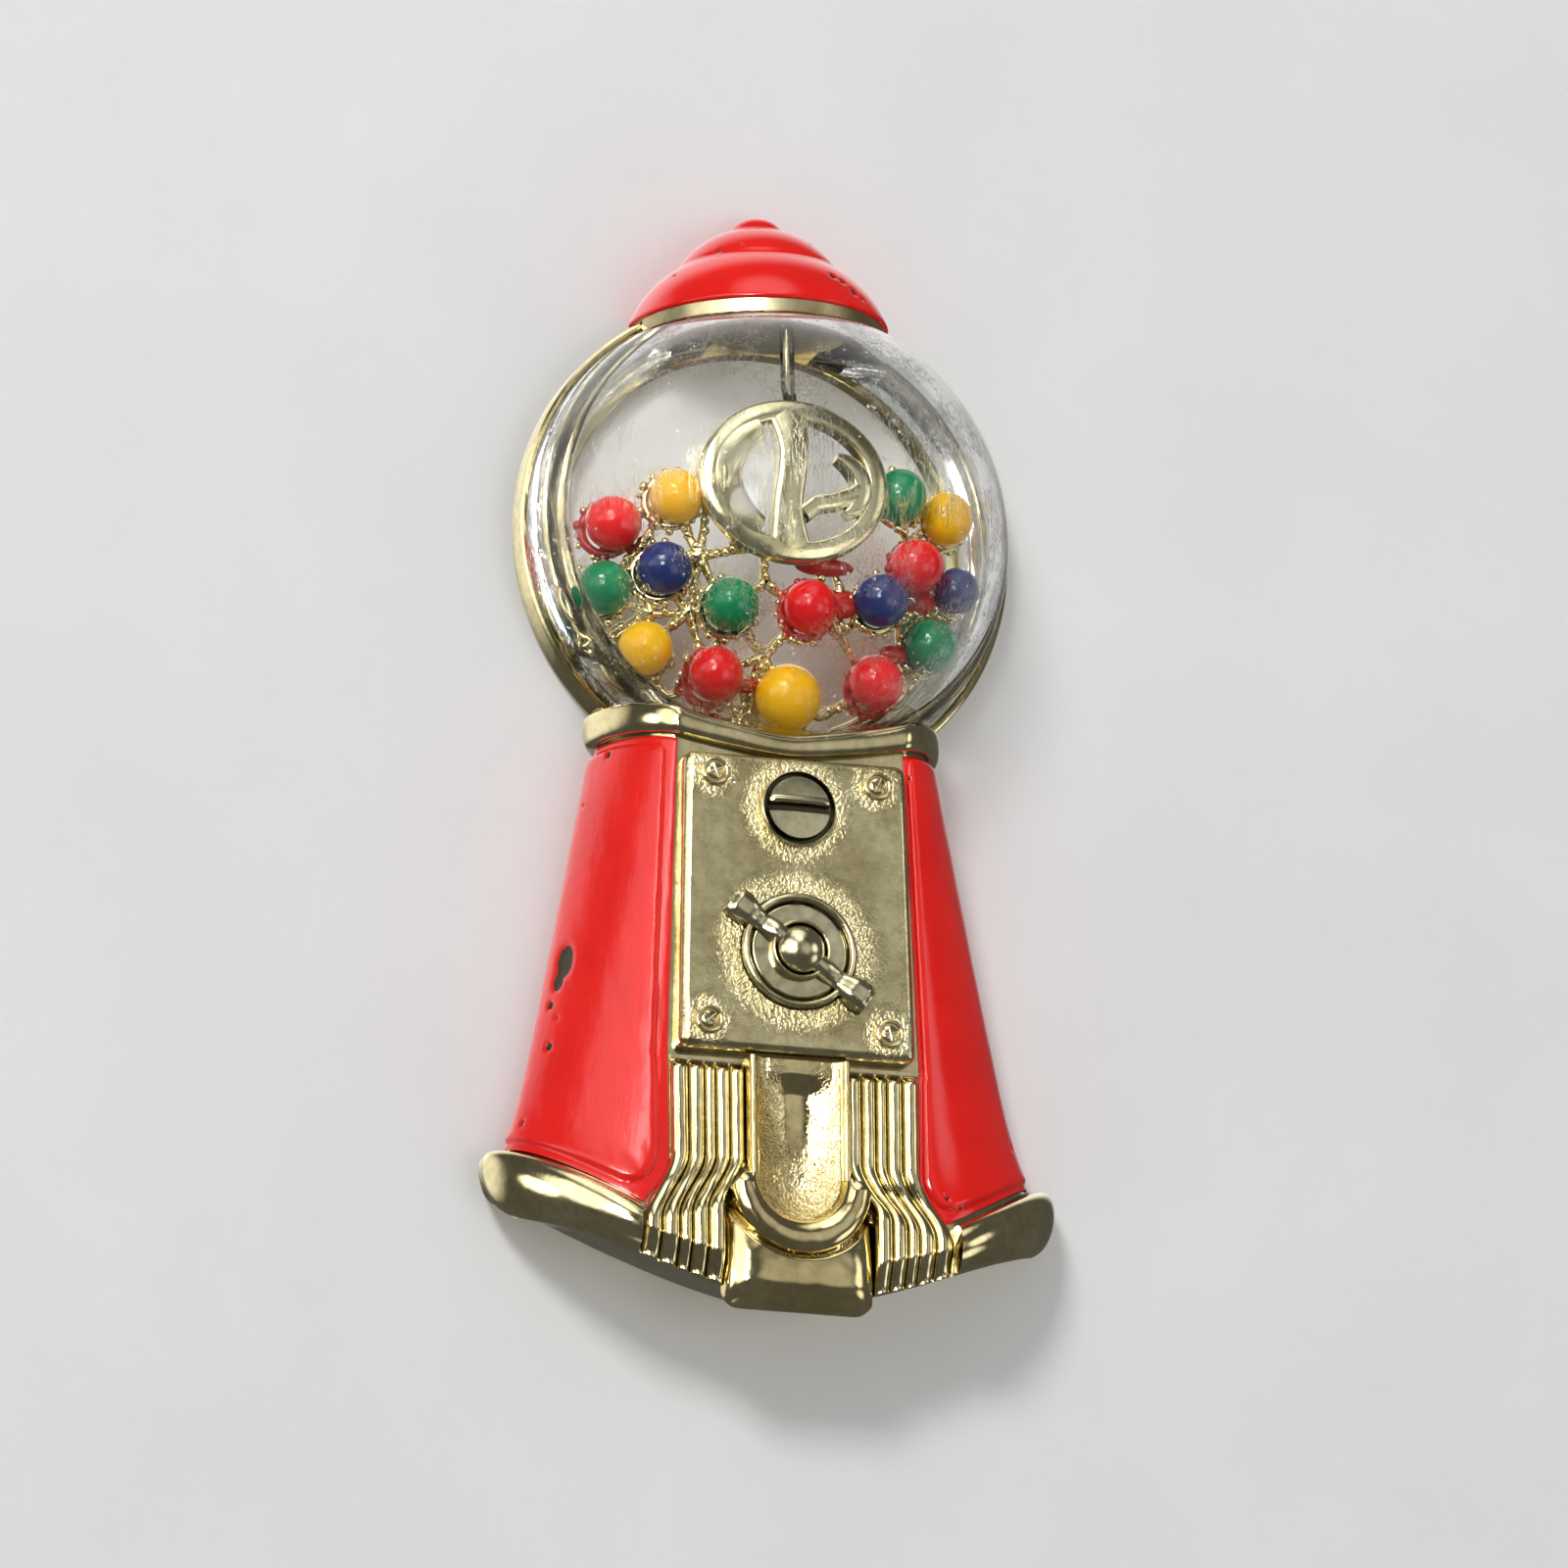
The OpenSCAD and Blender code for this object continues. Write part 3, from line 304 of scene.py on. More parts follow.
# ---------------------------------------------------------------- materials
class Nodes:
    """Short way to write node trees. Every input takes a value or another node's output."""

    def __init__(self, nt, coord="Object"):
        nt.nodes.clear()
        self.nt = nt
        self.coord = self.node("ShaderNodeTexCoord").outputs[coord]

    def plug(self, node, inputs):
        for key, val in inputs.items():
            sock = node.inputs[key]
            if isinstance(val, bpy.types.NodeSocket):
                self.nt.links.new(val, sock)
            elif isinstance(val, tuple) and sock.type == "RGBA":
                sock.default_value = (*val, 1)
            else:
                sock.default_value = val
        return node

    def node(self, kind, **inputs):
        named = {key.replace("_", " "): val for key, val in inputs.items()}
        return self.plug(self.nt.nodes.new(kind), named)

    def noise(self, size_mm, detail, rough=0.55, stretch=None):
        vec = self.coord
        if stretch is not None:
            vec = self.node("ShaderNodeMapping", Vector=vec, Scale=stretch).outputs[0]
        return self.node("ShaderNodeTexNoise", Vector=vec, Scale=1000.0 / size_mm, Detail=detail,
                         Roughness=rough).outputs["Fac"]

    def ramp(self, fac, stops):
        r = self.node("ShaderNodeValToRGB", Fac=fac)
        els = r.color_ramp.elements
        while len(els) < len(stops):
            els.new(0.5)
        for e, (pos, col) in zip(els, stops):
            e.position = pos
            e.color = (*col, 1) if isinstance(col, tuple) else (col, col, col, 1)
        return r.outputs[0]

    def mix(self, fac, a, b, kind="MIX"):
        m = self.nt.nodes.new("ShaderNodeMix")
        m.data_type = "RGBA"
        m.blend_type = kind
        return self.plug(m, {0: fac, 6: a, 7: b}).outputs[2]

    def math(self, op, a, b, clamp=False):
        n = self.nt.nodes.new("ShaderNodeMath")
        n.operation = op
        n.use_clamp = clamp
        return self.plug(n, {0: a, 1: b}).outputs[0]

    def times(self, a, b):
        return self.math("MULTIPLY", a, b)

    def between(self, fac, low, high):
        return self.node("ShaderNodeMapRange", Value=fac, To_Min=low, To_Max=high).outputs[0]

    def mask(self):
        n = self.nt.nodes.new("ShaderNodeAttribute")
        n.attribute_name = "mask"
        return n.outputs["Fac"]

    def bump(self, height, strength, dist_mm, normal=None):
        b = self.node("ShaderNodeBump", Height=height, Strength=strength, Distance=dist_mm * MM)
        if normal is not None:
            self.plug(b, {"Normal": normal})
        return b.outputs[0]

    def principled(self, **inputs):
        return self.node("ShaderNodeBsdfPrincipled", **inputs).outputs[0]

    def surface(self, shader):
        self.node("ShaderNodeOutputMaterial", Surface=shader)

    def mix_shaders(self, fac, a, b):
        return self.plug(self.nt.nodes.new("ShaderNodeMixShader"), {0: fac, 1: a, 2: b}).outputs[0]


def new_material(name):
    m = bpy.data.materials.new(name)
    m.use_nodes = True
    return m, Nodes(m.node_tree)


def gold_material(name, light=(0.95, 0.83, 0.48), dark=(0.74, 0.62, 0.31), rough=(0.07, 0.16),
                  grain=0.0, recess_shade=0.5, groove_shade=False, paint=None):
    """Antique pale gold plate: mottled tone, fine pits, and painted shade in the recesses.

    The mesh's mask adds sand grain; with the groove flag it paints shade into cut grooves and
    shaded parts, and with paint a colour that has strayed onto it.
    """
    m, k = new_material(name)
    tone = k.ramp(k.noise(2.6, 4), [(0.3, dark), (0.62, light)])
    fine = k.ramp(k.noise(0.5, 3), [(0.35, 0.86), (0.6, 1.0)])
    col = k.mix(1.0, tone, fine, "MULTIPLY")
    # painted shade: ambient occlusion darkens the colour towards a dark brown in recesses, creases and
    # between parts
    ao = k.node("ShaderNodeAmbientOcclusion", Distance=0.7 * MM)
    ao.samples = 6
    occlusion_shade = k.ramp(ao.outputs["AO"], [(0.2, 1.0), (0.75, 0.0)])
    col = k.mix(k.times(occlusion_shade, recess_shade), col, (0.09, 0.07, 0.03))
    metal = 1.0
    # painted shade: where the mesh's mask is high the colour goes almost black, in cut grooves and on parts
    # in shadow
    if groove_shade:
        col = k.mix(k.times(k.mask(), 0.9), col, (0.03, 0.024, 0.01))
    if paint:
        stray = k.ramp(k.math("ADD", k.mask(), k.math("SUBTRACT", k.noise(0.9, 3), 0.72)),
                       [(0.3, 0.0), (0.42, 1.0)])
        col = k.mix(stray, col, paint)
        metal = k.math("SUBTRACT", 1.0, stray)
    normal = k.bump(k.noise(0.8, 2), 0.22, 0.045)
    if grain:
        normal = k.bump(k.times(k.noise(0.17, 2, 0.7), k.mask()), grain, 0.12, normal)
    k.surface(k.principled(Base_Color=col, Metallic=metal, Normal=normal,
                           Roughness=k.between(k.noise(1.1, 4), *rough)))
    return m


def enamel_material(name, colour, deep, rough=(0.10, 0.22), gloss=0.5, marks=0.0):
    """Glossy enamel. Mask above a half is a chip to the dark metal; marks adds brush lines."""
    m, k = new_material(name)
    body = k.mix(k.ramp(k.noise(3.5, 3), [(0.3, 0.0), (0.75, 1.0)]), colour, deep)
    edge = k.math("ADD", k.mask(), k.times(k.math("SUBTRACT", k.noise(0.35, 3), 0.5), 0.55))
    chip = k.ramp(edge, [(0.48, 0.0), (0.56, 1.0)])
    normal = k.bump(k.noise(1.6, 2), 0.18, 0.06, k.bump(chip, -0.6, 0.08))
    if marks:
        turn = k.node("ShaderNodeMapping", Vector=k.coord, Rotation=(0, 0.6, 0), Scale=(1.0, 1.0, 0.3))
        lines = k.node("ShaderNodeTexNoise", Vector=turn.outputs[0], Scale=1000 / 0.42, Detail=4.0,
                       Roughness=0.6)
        normal = k.bump(lines.outputs["Fac"], marks, 0.05, normal)
    dull = k.math("ADD", k.between(k.noise(0.8, 4), *rough), k.times(chip, 0.4))
    k.surface(k.principled(Base_Color=k.mix(chip, body, (0.035, 0.024, 0.01)), Roughness=dull,
                           Specular_IOR_Level=gloss, Coat_Weight=0.6 * gloss,
                           Coat_Roughness=max(0.06, rough[0] - 0.04), Normal=normal))
    return m


def steel_material(name):
    """Dull plated steel, drawn lengthwise."""
    m, k = new_material(name)
    tone = k.ramp(k.noise(1.2, 4), [(0.3, (0.42, 0.40, 0.34)), (0.7, (0.74, 0.71, 0.62))])
    rough = k.between(k.noise(0.25, 3, 0.6, (1.0, 1.0, 0.08)), 0.2, 0.42)
    drawn = k.bump(k.noise(0.18, 3, 0.6, (1.0, 1.0, 0.06)), 0.2, 0.02)
    k.surface(k.principled(Base_Color=tone, Metallic=1.0, Roughness=rough, Normal=drawn))
    return m


def acrylic_material(name):
    """Clear acrylic with fine scratches and specks of dust; it lets most light through."""
    m, k = new_material(name)
    spots = k.node("ShaderNodeTexVoronoi", Vector=k.coord, Scale=1000 / 0.8)
    speck = k.ramp(spots.outputs["Distance"], [(0.07, 1.0), (0.12, 0.0)])
    dust = k.times(speck, k.ramp(k.noise(1.7, 2), [(0.50, 0.0), (0.58, 1.0)]))
    lines = k.ramp(k.noise(0.9, 5, 0.7, (3.0, 3.0, 0.25)), [(0.49, 0.0), (0.5, 1.0), (0.51, 0.0)])
    wear = k.times(lines, k.ramp(k.noise(2.3, 2), [(0.5, 0.0), (0.6, 1.0)]))
    clear = k.principled(Base_Color=(0.97, 0.975, 0.96), Transmission_Weight=1.0, IOR=1.49,
                         Specular_Tint=(0.14, 0.14, 0.14),
                         Roughness=k.math("ADD", k.times(dust, 0.5), k.times(wear, 0.25), True),
                         Normal=k.bump(k.math("ADD", dust, wear), 0.25, 0.03))
    specks = k.node("ShaderNodeBsdfDiffuse", Color=(0.80, 0.80, 0.76)).outputs[0]
    shade = k.node("ShaderNodeBsdfTransparent", Color=(0.74, 0.74, 0.73)).outputs[0]
    worn = k.mix_shaders(k.math("ADD", k.times(dust, 0.5), k.times(wear, 0.02), True), clear, specks)
    is_shadow = k.node("ShaderNodeLightPath").outputs["Is Shadow Ray"]
    k.surface(k.mix_shaders(is_shadow, worn, shade))
    return m


GOLD = gold_material("gold_plate")
GOLD_SATIN = gold_material("gold_satin", (0.91, 0.81, 0.46), (0.64, 0.55, 0.27), (0.15, 0.28), grain=0.9)
GOLD_RELIEF = gold_material("gold_relief", (0.92, 0.83, 0.54), (0.66, 0.58, 0.33), (0.12, 0.24),
                            groove_shade=True)
GOLD_CAST = gold_material("gold_cast_back", (0.80, 0.70, 0.42), (0.52, 0.44, 0.22), (0.26, 0.42),
                          recess_shade=0.8)
GOLD_CHUTE = gold_material("gold_chute", (0.94, 0.80, 0.42), (0.70, 0.56, 0.25), (0.07, 0.15), grain=0.9)
LATTICE = gold_material("gold_openwork", (0.95, 0.83, 0.46), (0.76, 0.62, 0.30), (0.10, 0.22),
                        recess_shade=0.4, paint=(0.45, 0.02, 0.012))
ENAMEL_REDS = (0.93, 0.014, 0.008), (0.80, 0.008, 0.006)
RED = enamel_material("red_enamel", *ENAMEL_REDS)
RED_LEFT = enamel_material("red_enamel_brushed", *ENAMEL_REDS, rough=(0.20, 0.30), marks=0.7)
STEEL = steel_material("steel")
ACRYLIC = acrylic_material("clear_acrylic")


# ---------------------------------------------------------------- cap
def arch(a, b, bulge, n):
    """n + 1 points from a to b on a curve that bulges to the right."""
    a, b = np.array(a, float), np.array(b, float)
    d = b - a
    out = np.array([d[1], -d[0]]) / np.linalg.norm(d)
    u = np.linspace(0, 1, n + 1)[:, None]
    return a + d * u + out * 4 * bulge * u * (1 - u)


CAP_CHIPS = [(2.0, 2.5, 55.4, 0.12, 1), (-2.9, 3.3, 54.9, 0.1, 1), (2.5, 5.8, 53.3, 0.16, 1),
             (3.0, 5.7, 53.1, 0.14, 1), (3.6, 5.6, 52.6, 0.16, 0.6), (4.0, 5.3, 52.3, 0.12, 1),
             (-4.9, 2.6, 53.4, 0.1, 1), (-1.6, 3.6, 54.9, 0.08, 1)]
CAP_AXIS_H = 0.5


def turned(profile):
    """Rows of points: (radius, z) turned about the cap's upright axis, cut off at h = 0."""
    rows = []
    for r, z in profile:
        lim = math.pi if r <= CAP_AXIS_H else math.acos(-CAP_AXIS_H / r)
        a = np.linspace(-lim, lim, 151)
        rows.append(xhz(r * np.sin(a), CAP_AXIS_H + r * np.cos(a), z))
    return np.array(rows)


def cap():
    profile = np.concatenate([
        [[6.12, BRIM_Z], [6.36, BRIM_Z + 0.01], [6.45, BRIM_Z + 0.07]],
        arch((6.47, BRIM_Z + 0.15), (4.2, STEP_Z - 0.15), 0.30, 26),
        [[4.04, STEP_Z - 0.04], [3.93, STEP_Z + 0.08]],
        arch((3.87, STEP_Z + 0.22), (1.62, KNOB_Z), 0.24, 24),
        [[1.47, KNOB_Z + 0.05], [1.36, KNOB_Z + 0.13]],
        arch((1.28, KNOB_Z + 0.24), (0.001, TIP_Z + 0.1), 0.22, 12)])
    s = Shape()
    outer = turned(profile)
    inner = turned(np.maximum(profile - [ENAMEL, ENAMEL], [0.0005, BRIM_Z]))
    wob = waves(outer, 4.0, 3)[..., None] * 0.018
    chips = chip_mask(outer, CAP_CHIPS)
    radial = (outer - [0, CAP_AXIS_H, 0]) * [1, 1, 0]
    radial /= np.maximum(np.linalg.norm(radial, axis=-1, keepdims=True), 1e-6)
    outer = outer + radial * (wob - 0.12 * chips[..., None])
    outer[..., 1] = np.maximum(outer[..., 1], 0)
    s.shell(outer, inner, mask=chips)
    s.make("cap_enamel_skin", [RED], ["cap_enamel"])


def chip_mask(points, chips):
    """0 on sound enamel, 1 inside a chip. A chip is a place, a radius and a weight on its height."""
    out = np.zeros(points.shape[:-1])
    for x, h, z, r, tall in chips:
        d = np.linalg.norm(points - np.array([x, h, z]), axis=-1)
        centre = points[np.unravel_index(np.argmin(d), d.shape)]
        d = np.linalg.norm((points - centre) * [1, 1, tall], axis=-1)
        out = np.maximum(out, 1 - smooth(0.55 * r, 1.6 * r, d))
    return out


# ---------------------------------------------------------------- globe
def theta_limit(r):
    """Angle from straight down at which a circle of radius r meets the collar's curve."""
    lo, hi = 0.0, math.pi / 2
    for _ in range(40):
        mid = (lo + hi) / 2
        x, z = r * math.sin(mid), GLOBE_Z - r * math.cos(mid)
        if z < collar_edge(x) + GAP:
            lo = mid
        else:
            hi = mid
    return hi


def ring():
    s = Shape()
    prof = [(LEDGE_IN, 0.06), (LEDGE_IN + 0.06, 0), (RING_R - 0.1, 0), (RING_R, 0.12), (RING_R, LIP_H - 0.22),
            (RING_R - 0.05, LIP_H - 0.07), (RING_R - 0.16, LIP_H), (RING_R - 0.3, LIP_H - 0.02),
            (RING_R - 0.385, LIP_H - 0.1), (RING_R - LIP_T, LIP_H - 0.2), (RING_R - LIP_T, LEDGE_H),
            (LEDGE_IN + 0.06, LEDGE_H), (LEDGE_IN, LEDGE_H - 0.06)]
    cols = 220
    rows = []
    for r, h in prof + prof[:1]:
        lim = theta_limit(r)
        a = np.linspace(lim, 2 * math.pi - lim, cols)
        rows.append(xhz(r * np.sin(a), h, GLOBE_Z - r * np.cos(a)))
    first = s.grid(wobbled(np.array(rows), 5.0, 11, (0.012, 0, 0.012)))
    for end in (first, first + cols - 1):
        s.face(range(end, end + len(prof) * cols, cols))
    s.make("globe_ring_bezel", [GOLD], ["globe_ring"], sharp=35)


def carve(ob, cutters):
    """Cuts the cutter meshes away from ob for good."""
    for c in cutters:
        mod = ob.modifiers.new("cut", "BOOLEAN")
        mod.operation = "DIFFERENCE"
        mod.solver = "EXACT"
        mod.object = c
    bpy.context.view_layer.update()
    dg = bpy.context.evaluated_depsgraph_get()
    me = bpy.data.meshes.new_from_object(ob.evaluated_get(dg))
    ob.modifiers.clear()
    old = ob.data
    ob.data = me
    bpy.data.meshes.remove(old)
    for c in cutters:
        data = c.data
        bpy.data.objects.remove(c)
        bpy.data.meshes.remove(data)


def prism(name, outline, h0, h1):
    """Closed prism over an (x, z) outline, for carving."""
    n = len(outline)
    v = world([(x, h, z) for h in (h0, h1) for x, z in outline])
    f = [tuple(range(n)), tuple(range(2 * n - 1, n - 1, -1))]
    f += [(i, i + n, (i + 1) % n + n, (i + 1) % n) for i in range(n)]
    ob = linked_mesh(name, v, f)
    clean_mesh(ob, 30)
    return ob


def dome():
    s = Shape()
    n = 56
    a = np.linspace(0, math.pi / 2, n)
    outer = [(DOME_R * math.sin(t), DOME_BASE + DOME_R * math.cos(t)) for t in a]
    ri = DOME_R - DOME_WALL
    foot_r = DOME_R - DOME_FOOT_W
    t_in = math.asin((foot_r + 0.25) / ri)
    inner = [(ri * math.sin(t), DOME_BASE + ri * math.cos(t)) for t in np.linspace(t_in, 0, n)]
    foot = [(DOME_R, DOME_BASE + 0.001), (DOME_R - 0.06, DOME_BASE), (foot_r + 0.06, DOME_BASE),
            (foot_r, DOME_BASE + 0.06), (foot_r, DOME_BASE + DOME_FOOT_H - 0.15),
            (foot_r + 0.04, DOME_BASE + DOME_FOOT_H)]
    prof = outer[:-1] + foot + [(foot_r + 0.13, DOME_BASE + DOME_FOOT_H + 0.12)] + inner
    prof[0] = (0.0005, prof[0][1])
    prof[-1] = (0.0005, prof[-1][1])
    s.lathe(prof, 0, GLOBE_Z, 200)
    ob = s.make("globe_dome_clear", [ACRYLIC], ["globe_dome"], sharp=40)
    xs = np.linspace(-15, 15, 61)
    low = prism("cut_low", [(x, collar_edge(x) + GAP) for x in xs] + [(15, 20), (-15, 20)], -3, 20)
    top = prism("cut_top", [(-15, NECK_Z - GAP), (15, NECK_Z - GAP), (15, 60), (-15, 60)], -3, 20)
    carve(ob, [low, top])
    clean_mesh(ob, 40)


# Beads: x and z from the globe's centre, and radius
BALLS = {
    "red": [(-8.45, -0.45, 1.35), (0.97, -4.35, 1.35), (6.65, -1.6, 1.35), (-3.39, -7.6, 1.35),
            (4.75, -7.35, 1.35)],
    "yellow": [(-5.64, 0.8, 1.35), (8.6, 1.19, 1.35), (-6.75, -6.45, 1.35), (0.25, -8.5, 1.6)],
    "green": [(5.79, 1.8, 1.35), (-8.75, -3.54, 1.35), (-2.95, -4.45, 1.35), (7.7, -5.25, 1.35)],
    "blue": [(-6.15, -2.75, 1.35), (4.7, -3.6, 1.35), (9.15, -2.35, 1.2)],
}
# the pile of beads lies on a sphere with its crown at 6.2 and its edge, 11 out, 3.6 lower
PILE_R = (11.0 ** 2 + 3.6 ** 2) / 7.2
PILE_H = 6.2 - PILE_R
LATTICE_R = PILE_R - 0.9
BEAD_PAINTS = {"red": ("red", (0.84, 0.014, 0.016), (0.66, 0.008, 0.010)),
               "yellow": ("yellow", (0.95, 0.52, 0.006), (0.88, 0.42, 0.004)),
               "green": ("green", (0.004, 0.25, 0.09), (0.003, 0.17, 0.06)),
               "blue": ("navy", (0.026, 0.042, 0.17), (0.018, 0.028, 0.11))}


def pile_h(x, z, r=PILE_R):
    return PILE_H + np.sqrt(np.maximum(r * r - x * x - z * z, 0))


def beads():
    for n, (colour, balls) in enumerate(BALLS.items()):
        tint, light, deep = BEAD_PAINTS[colour]
        paint = enamel_material(tint + "_bead", light, deep, rough=(0.05, 0.09), gloss=0.34)
        s = Shape()
        for i, (x, z, r) in enumerate(balls):
            rng = random.Random(100 * n + i)
            squash = [rng.uniform(low, 1.0) for low in (0.96, 0.94, 0.96)]
            s.ball((x, float(pile_h(x, z)), GLOBE_Z + z), r, 26, 40, squash)
        s.make(colour + "_gumball_beads", [paint], [colour + "_gumballs"])


def lattice():
    """Openwork between the beads: cast links set with granules, and a granule ring round each."""
    s = Shape()
    rng = random.Random(7)
    balls = sum(BALLS.values(), [])
    red = np.array(BALLS["red"])

    def at(x, z, lift=0.0):
        return np.array([x, float(pile_h(x, z, LATTICE_R)) + lift, GLOBE_Z + z])

    def normal(x, z):
        n = np.array([x, float(pile_h(x, z, LATTICE_R)) - PILE_H, z])
        return n / np.linalg.norm(n)

    def paint(q):
        """How much stray red paint lies near a point."""
        d = np.hypot(red[:, 0] - q[0], red[:, 1] - (q[2] - GLOBE_Z)).min()
        return 0.75 * float(1 - smooth(1.25, 1.9, d))

    def grain(q, r):
        if math.hypot(q[0], q[2] - GLOBE_Z) < 10.15 and q[2] > collar_edge(q[0]) + 0.35:
            s.ball(q, r, 8, 12, mask=paint(q))

    # links join the beads, and knots between them
    joints = [ball[:2] for ball in balls] + [
        (-1.2, -1.3), (2.2, -1.4), (-3.9, 1.3), (2.9, -5.2), (-4.7, -4.6), (-0.9, -6.5), (2.4, -8.9),
        (-1.7, -9.2), (6.2, -4.3), (-9.1, -5.9), (6.6, -7.2), (-5.3, -8.4), (-7.2, -1.6), (-4.3, -1.9),
        (-1.1, -3.1), (2.8, -3.2), (6.4, -0.2), (7.4, -3.7), (-1.6, -7.9), (-6.4, -4.6)]
    for i, (x0, z0) in enumerate(joints):
        for x1, z1 in joints[i + 1:]:
            gap = math.hypot(x1 - x0, z1 - z0)
            if not 0.6 < gap < 3.3:
                continue
            u = np.linspace(0, 1, 9)
            path = np.array([at(x0 + (x1 - x0) * v, z0 + (z1 - z0) * v) for v in u])
            path[:, 1] -= 0.22 * np.sin(u * math.pi)
            s.tube(path, 0.23 + 0.05 * np.cos(u * 2 * math.pi), 10, mask=[paint(q) for q in path])
            for v in np.arange(0.5, gap - 0.3, 0.47) / gap:
                k = rng.uniform(-0.1, 0.1)
                q = at(x0 + (x1 - x0) * v + k, z0 + (z1 - z0) * v - k, 0.16 - 0.22 * math.sin(v * math.pi))
                grain(q, rng.uniform(0.17, 0.29))
    # granule ring round each bead
    for x, z, r in balls:
        n = normal(x, z)
        e1 = np.cross(n, [0.0, 0.0, 1.0])
        e1 /= np.linalg.norm(e1)
        e2 = np.cross(n, e1)
        centre = at(x, z) + n * 0.05
        a = np.linspace(0, 2 * math.pi, 29)
        ring_r = 0.95 * r
        path = np.array([centre + ring_r * (math.cos(t) * e1 + math.sin(t) * e2) for t in a])
        s.tube(path, 0.22, 10, ends=False, mask=[paint(q) for q in path])
        for k in range(15):
            t = (k + rng.uniform(-0.3, 0.3)) / 15 * 2 * math.pi
            d = ring_r + rng.uniform(0.08, 0.3)
            grain(centre + d * (math.cos(t) * e1 + math.sin(t) * e2) + n * rng.uniform(0.0, 0.3),
                  rng.uniform(0.14, 0.26))
    # rim that the openwork hangs on, and the spokes that reach it
    for sign in (-1, 1):
        th = np.linspace(theta_limit(10.0), math.radians(69), 50)
        path = [(sign * 9.98 * math.sin(t), 1.35, GLOBE_Z - 9.98 * math.cos(t)) for t in th]
        s.tube(path, 0.34, 12)
    for x, z, r in balls:
        d = math.hypot(x, z)
        if d > 8.4 and z < 0.5:
            k = 9.95 / d
            if GLOBE_Z + z * k > collar_edge(x * k) + 0.4 and z * k < -3.3:
                s.tube([at(x, z), (x * k, 1.4, GLOBE_Z + z * k)], 0.32, 10)
    for x, z in ((-9.35, -3.6), (9.3, -3.7), (-6.9, -7.2), (7.1, -7.0)):
        s.tube([at(x * 0.86, z * 0.86), (x, 1.4, GLOBE_Z + z)], 0.34, 10)
    # partly hidden bead of red paint under the medallion, and paint run between beads
    for x, z, sx, sz in ((2.86, -3.76, 1.0, 0.75), (1.9, -2.1, 1.5, 0.45), (-1.5, -7.9, 0.8, 0.4),
                         (7.2, -3.0, 0.9, 0.7), (5.9, -5.7, 0.8, 0.5)):
        s.ball(at(x, z, -0.05), 1.0, 16, 26, (sx, 0.55, sz), mask=1.0)
    s.make("gumball_lattice_openwork", [LATTICE], ["gumball_lattice"], sharp=60)


def medallion():
    """Domed openwork oval: a rim, an upright bar, a crescent and a forked bar."""
    half_a, half_b, up, face, thick = 4.74, 4.1, 1.7, 7.1, 0.8
    centre_z = GLOBE_Z + up
    s = Shape()

    def top(x, z):
        return face - 0.55 * ((x / half_a) ** 2 + (z / half_b) ** 2)

    def strip(path, width, high):
        """Ribbon with a rounded top that lies along (x, z, width share) points."""
        p = np.array(path, float)
        w = width * p[:, 2]
        p = p[:, :2]
        d = np.gradient(p, axis=0)
        d /= np.linalg.norm(d, axis=1)[:, None]
        nrm = np.stack([-d[:, 1], d[:, 0]], 1)
        rows = []
        for k in range(15):
            f = k / 14 * math.pi
            off = math.cos(f)
            xz = p + nrm * (w * off)[:, None]
            h = top(xz[:, 0], xz[:, 1]) - high * (1 - math.sin(f) ** 0.7)
            rows.append(xhz(xz[:, 0], h, centre_z + xz[:, 1]))
        front = np.array(rows)
        back = front.copy()
        back[..., 1] = top(p[:, 0], p[:, 1])[None, :] - thick
        s.shell(front, back)

    def ellipse(a, b, t0, t1, n, cx=0.0, cz=0.0, taper=0.0):
        """(x, z, width share) along an arc, with its ends drawn thin by taper."""
        t = np.radians(np.linspace(t0, t1, n))
        u = np.linspace(0, 1, n)
        w = 1 - taper * np.abs(2 * u - 1) ** 3
        return [(cx + a * math.cos(q), cz + b * math.sin(q), k) for q, k in zip(t, w)]

    rim = 0.5
    strip(ellipse(half_a - rim, half_b - rim, 0, 360, 97), rim, 0.2)
    strip([(-0.3 + 0.16 * math.sin(z), z, 1 + 0.8 * abs(z / half_b) ** 3)
           for z in np.linspace(rim - half_b, half_b - rim, 25)], 0.72, 0.2)
    strip(ellipse(2.9, 2.75, 108, 252, 31, -0.9, 0, 0.4), 1.05, 0.25)
    strip(ellipse(1.9, 1.55, -60, 75, 25, 1.55, -0.2, 0.6), 0.52, 0.25)
    strip([(0.35, -1.7, 1), (1.0, -1.15, 1), (1.9, -0.95, 1), (2.9, -0.55, 1), (3.7, 0.1, 1)], 0.45, 0.22)
    # hanger rib darkened with painted shade, and two posts down to the openwork
    tip = centre_z + half_b
    s.tube([(0, 6.2, tip - 0.3), (0, 5.8, tip + 0.1), (0, 5.45, tip + 0.9), (0, 5.4, NECK_Z - GAP)],
           0.36, 16, mask=[0.8] * 4)
    post_z = up - 2.87
    for x in (-2.61, 2.61):
        foot = float(pile_h(x, post_z, LATTICE_R))
        s.tube([(x, 6.35, GLOBE_Z + post_z), (x, 5.5, GLOBE_Z + post_z), (x * 1.02, foot, GLOBE_Z + post_z)],
               0.36, 12)
    s.make("medallion_openwork", [GOLD_RELIEF], ["medallion"], sharp=60)


# ---------------------------------------------------------------- pedestal
LEVELS = np.concatenate([np.linspace(1, 0.2, 34), np.linspace(0.19, 0.0, 22)])


def body_row(t, inset, cols):
    """Points round the pedestal at level t."""
    x, h = section(t, inset, cols)
    return xhz(x, h, skin_z(x, t))


def with_z(row, z):
    r = row.copy()
    r[:, 2] = z
    return r


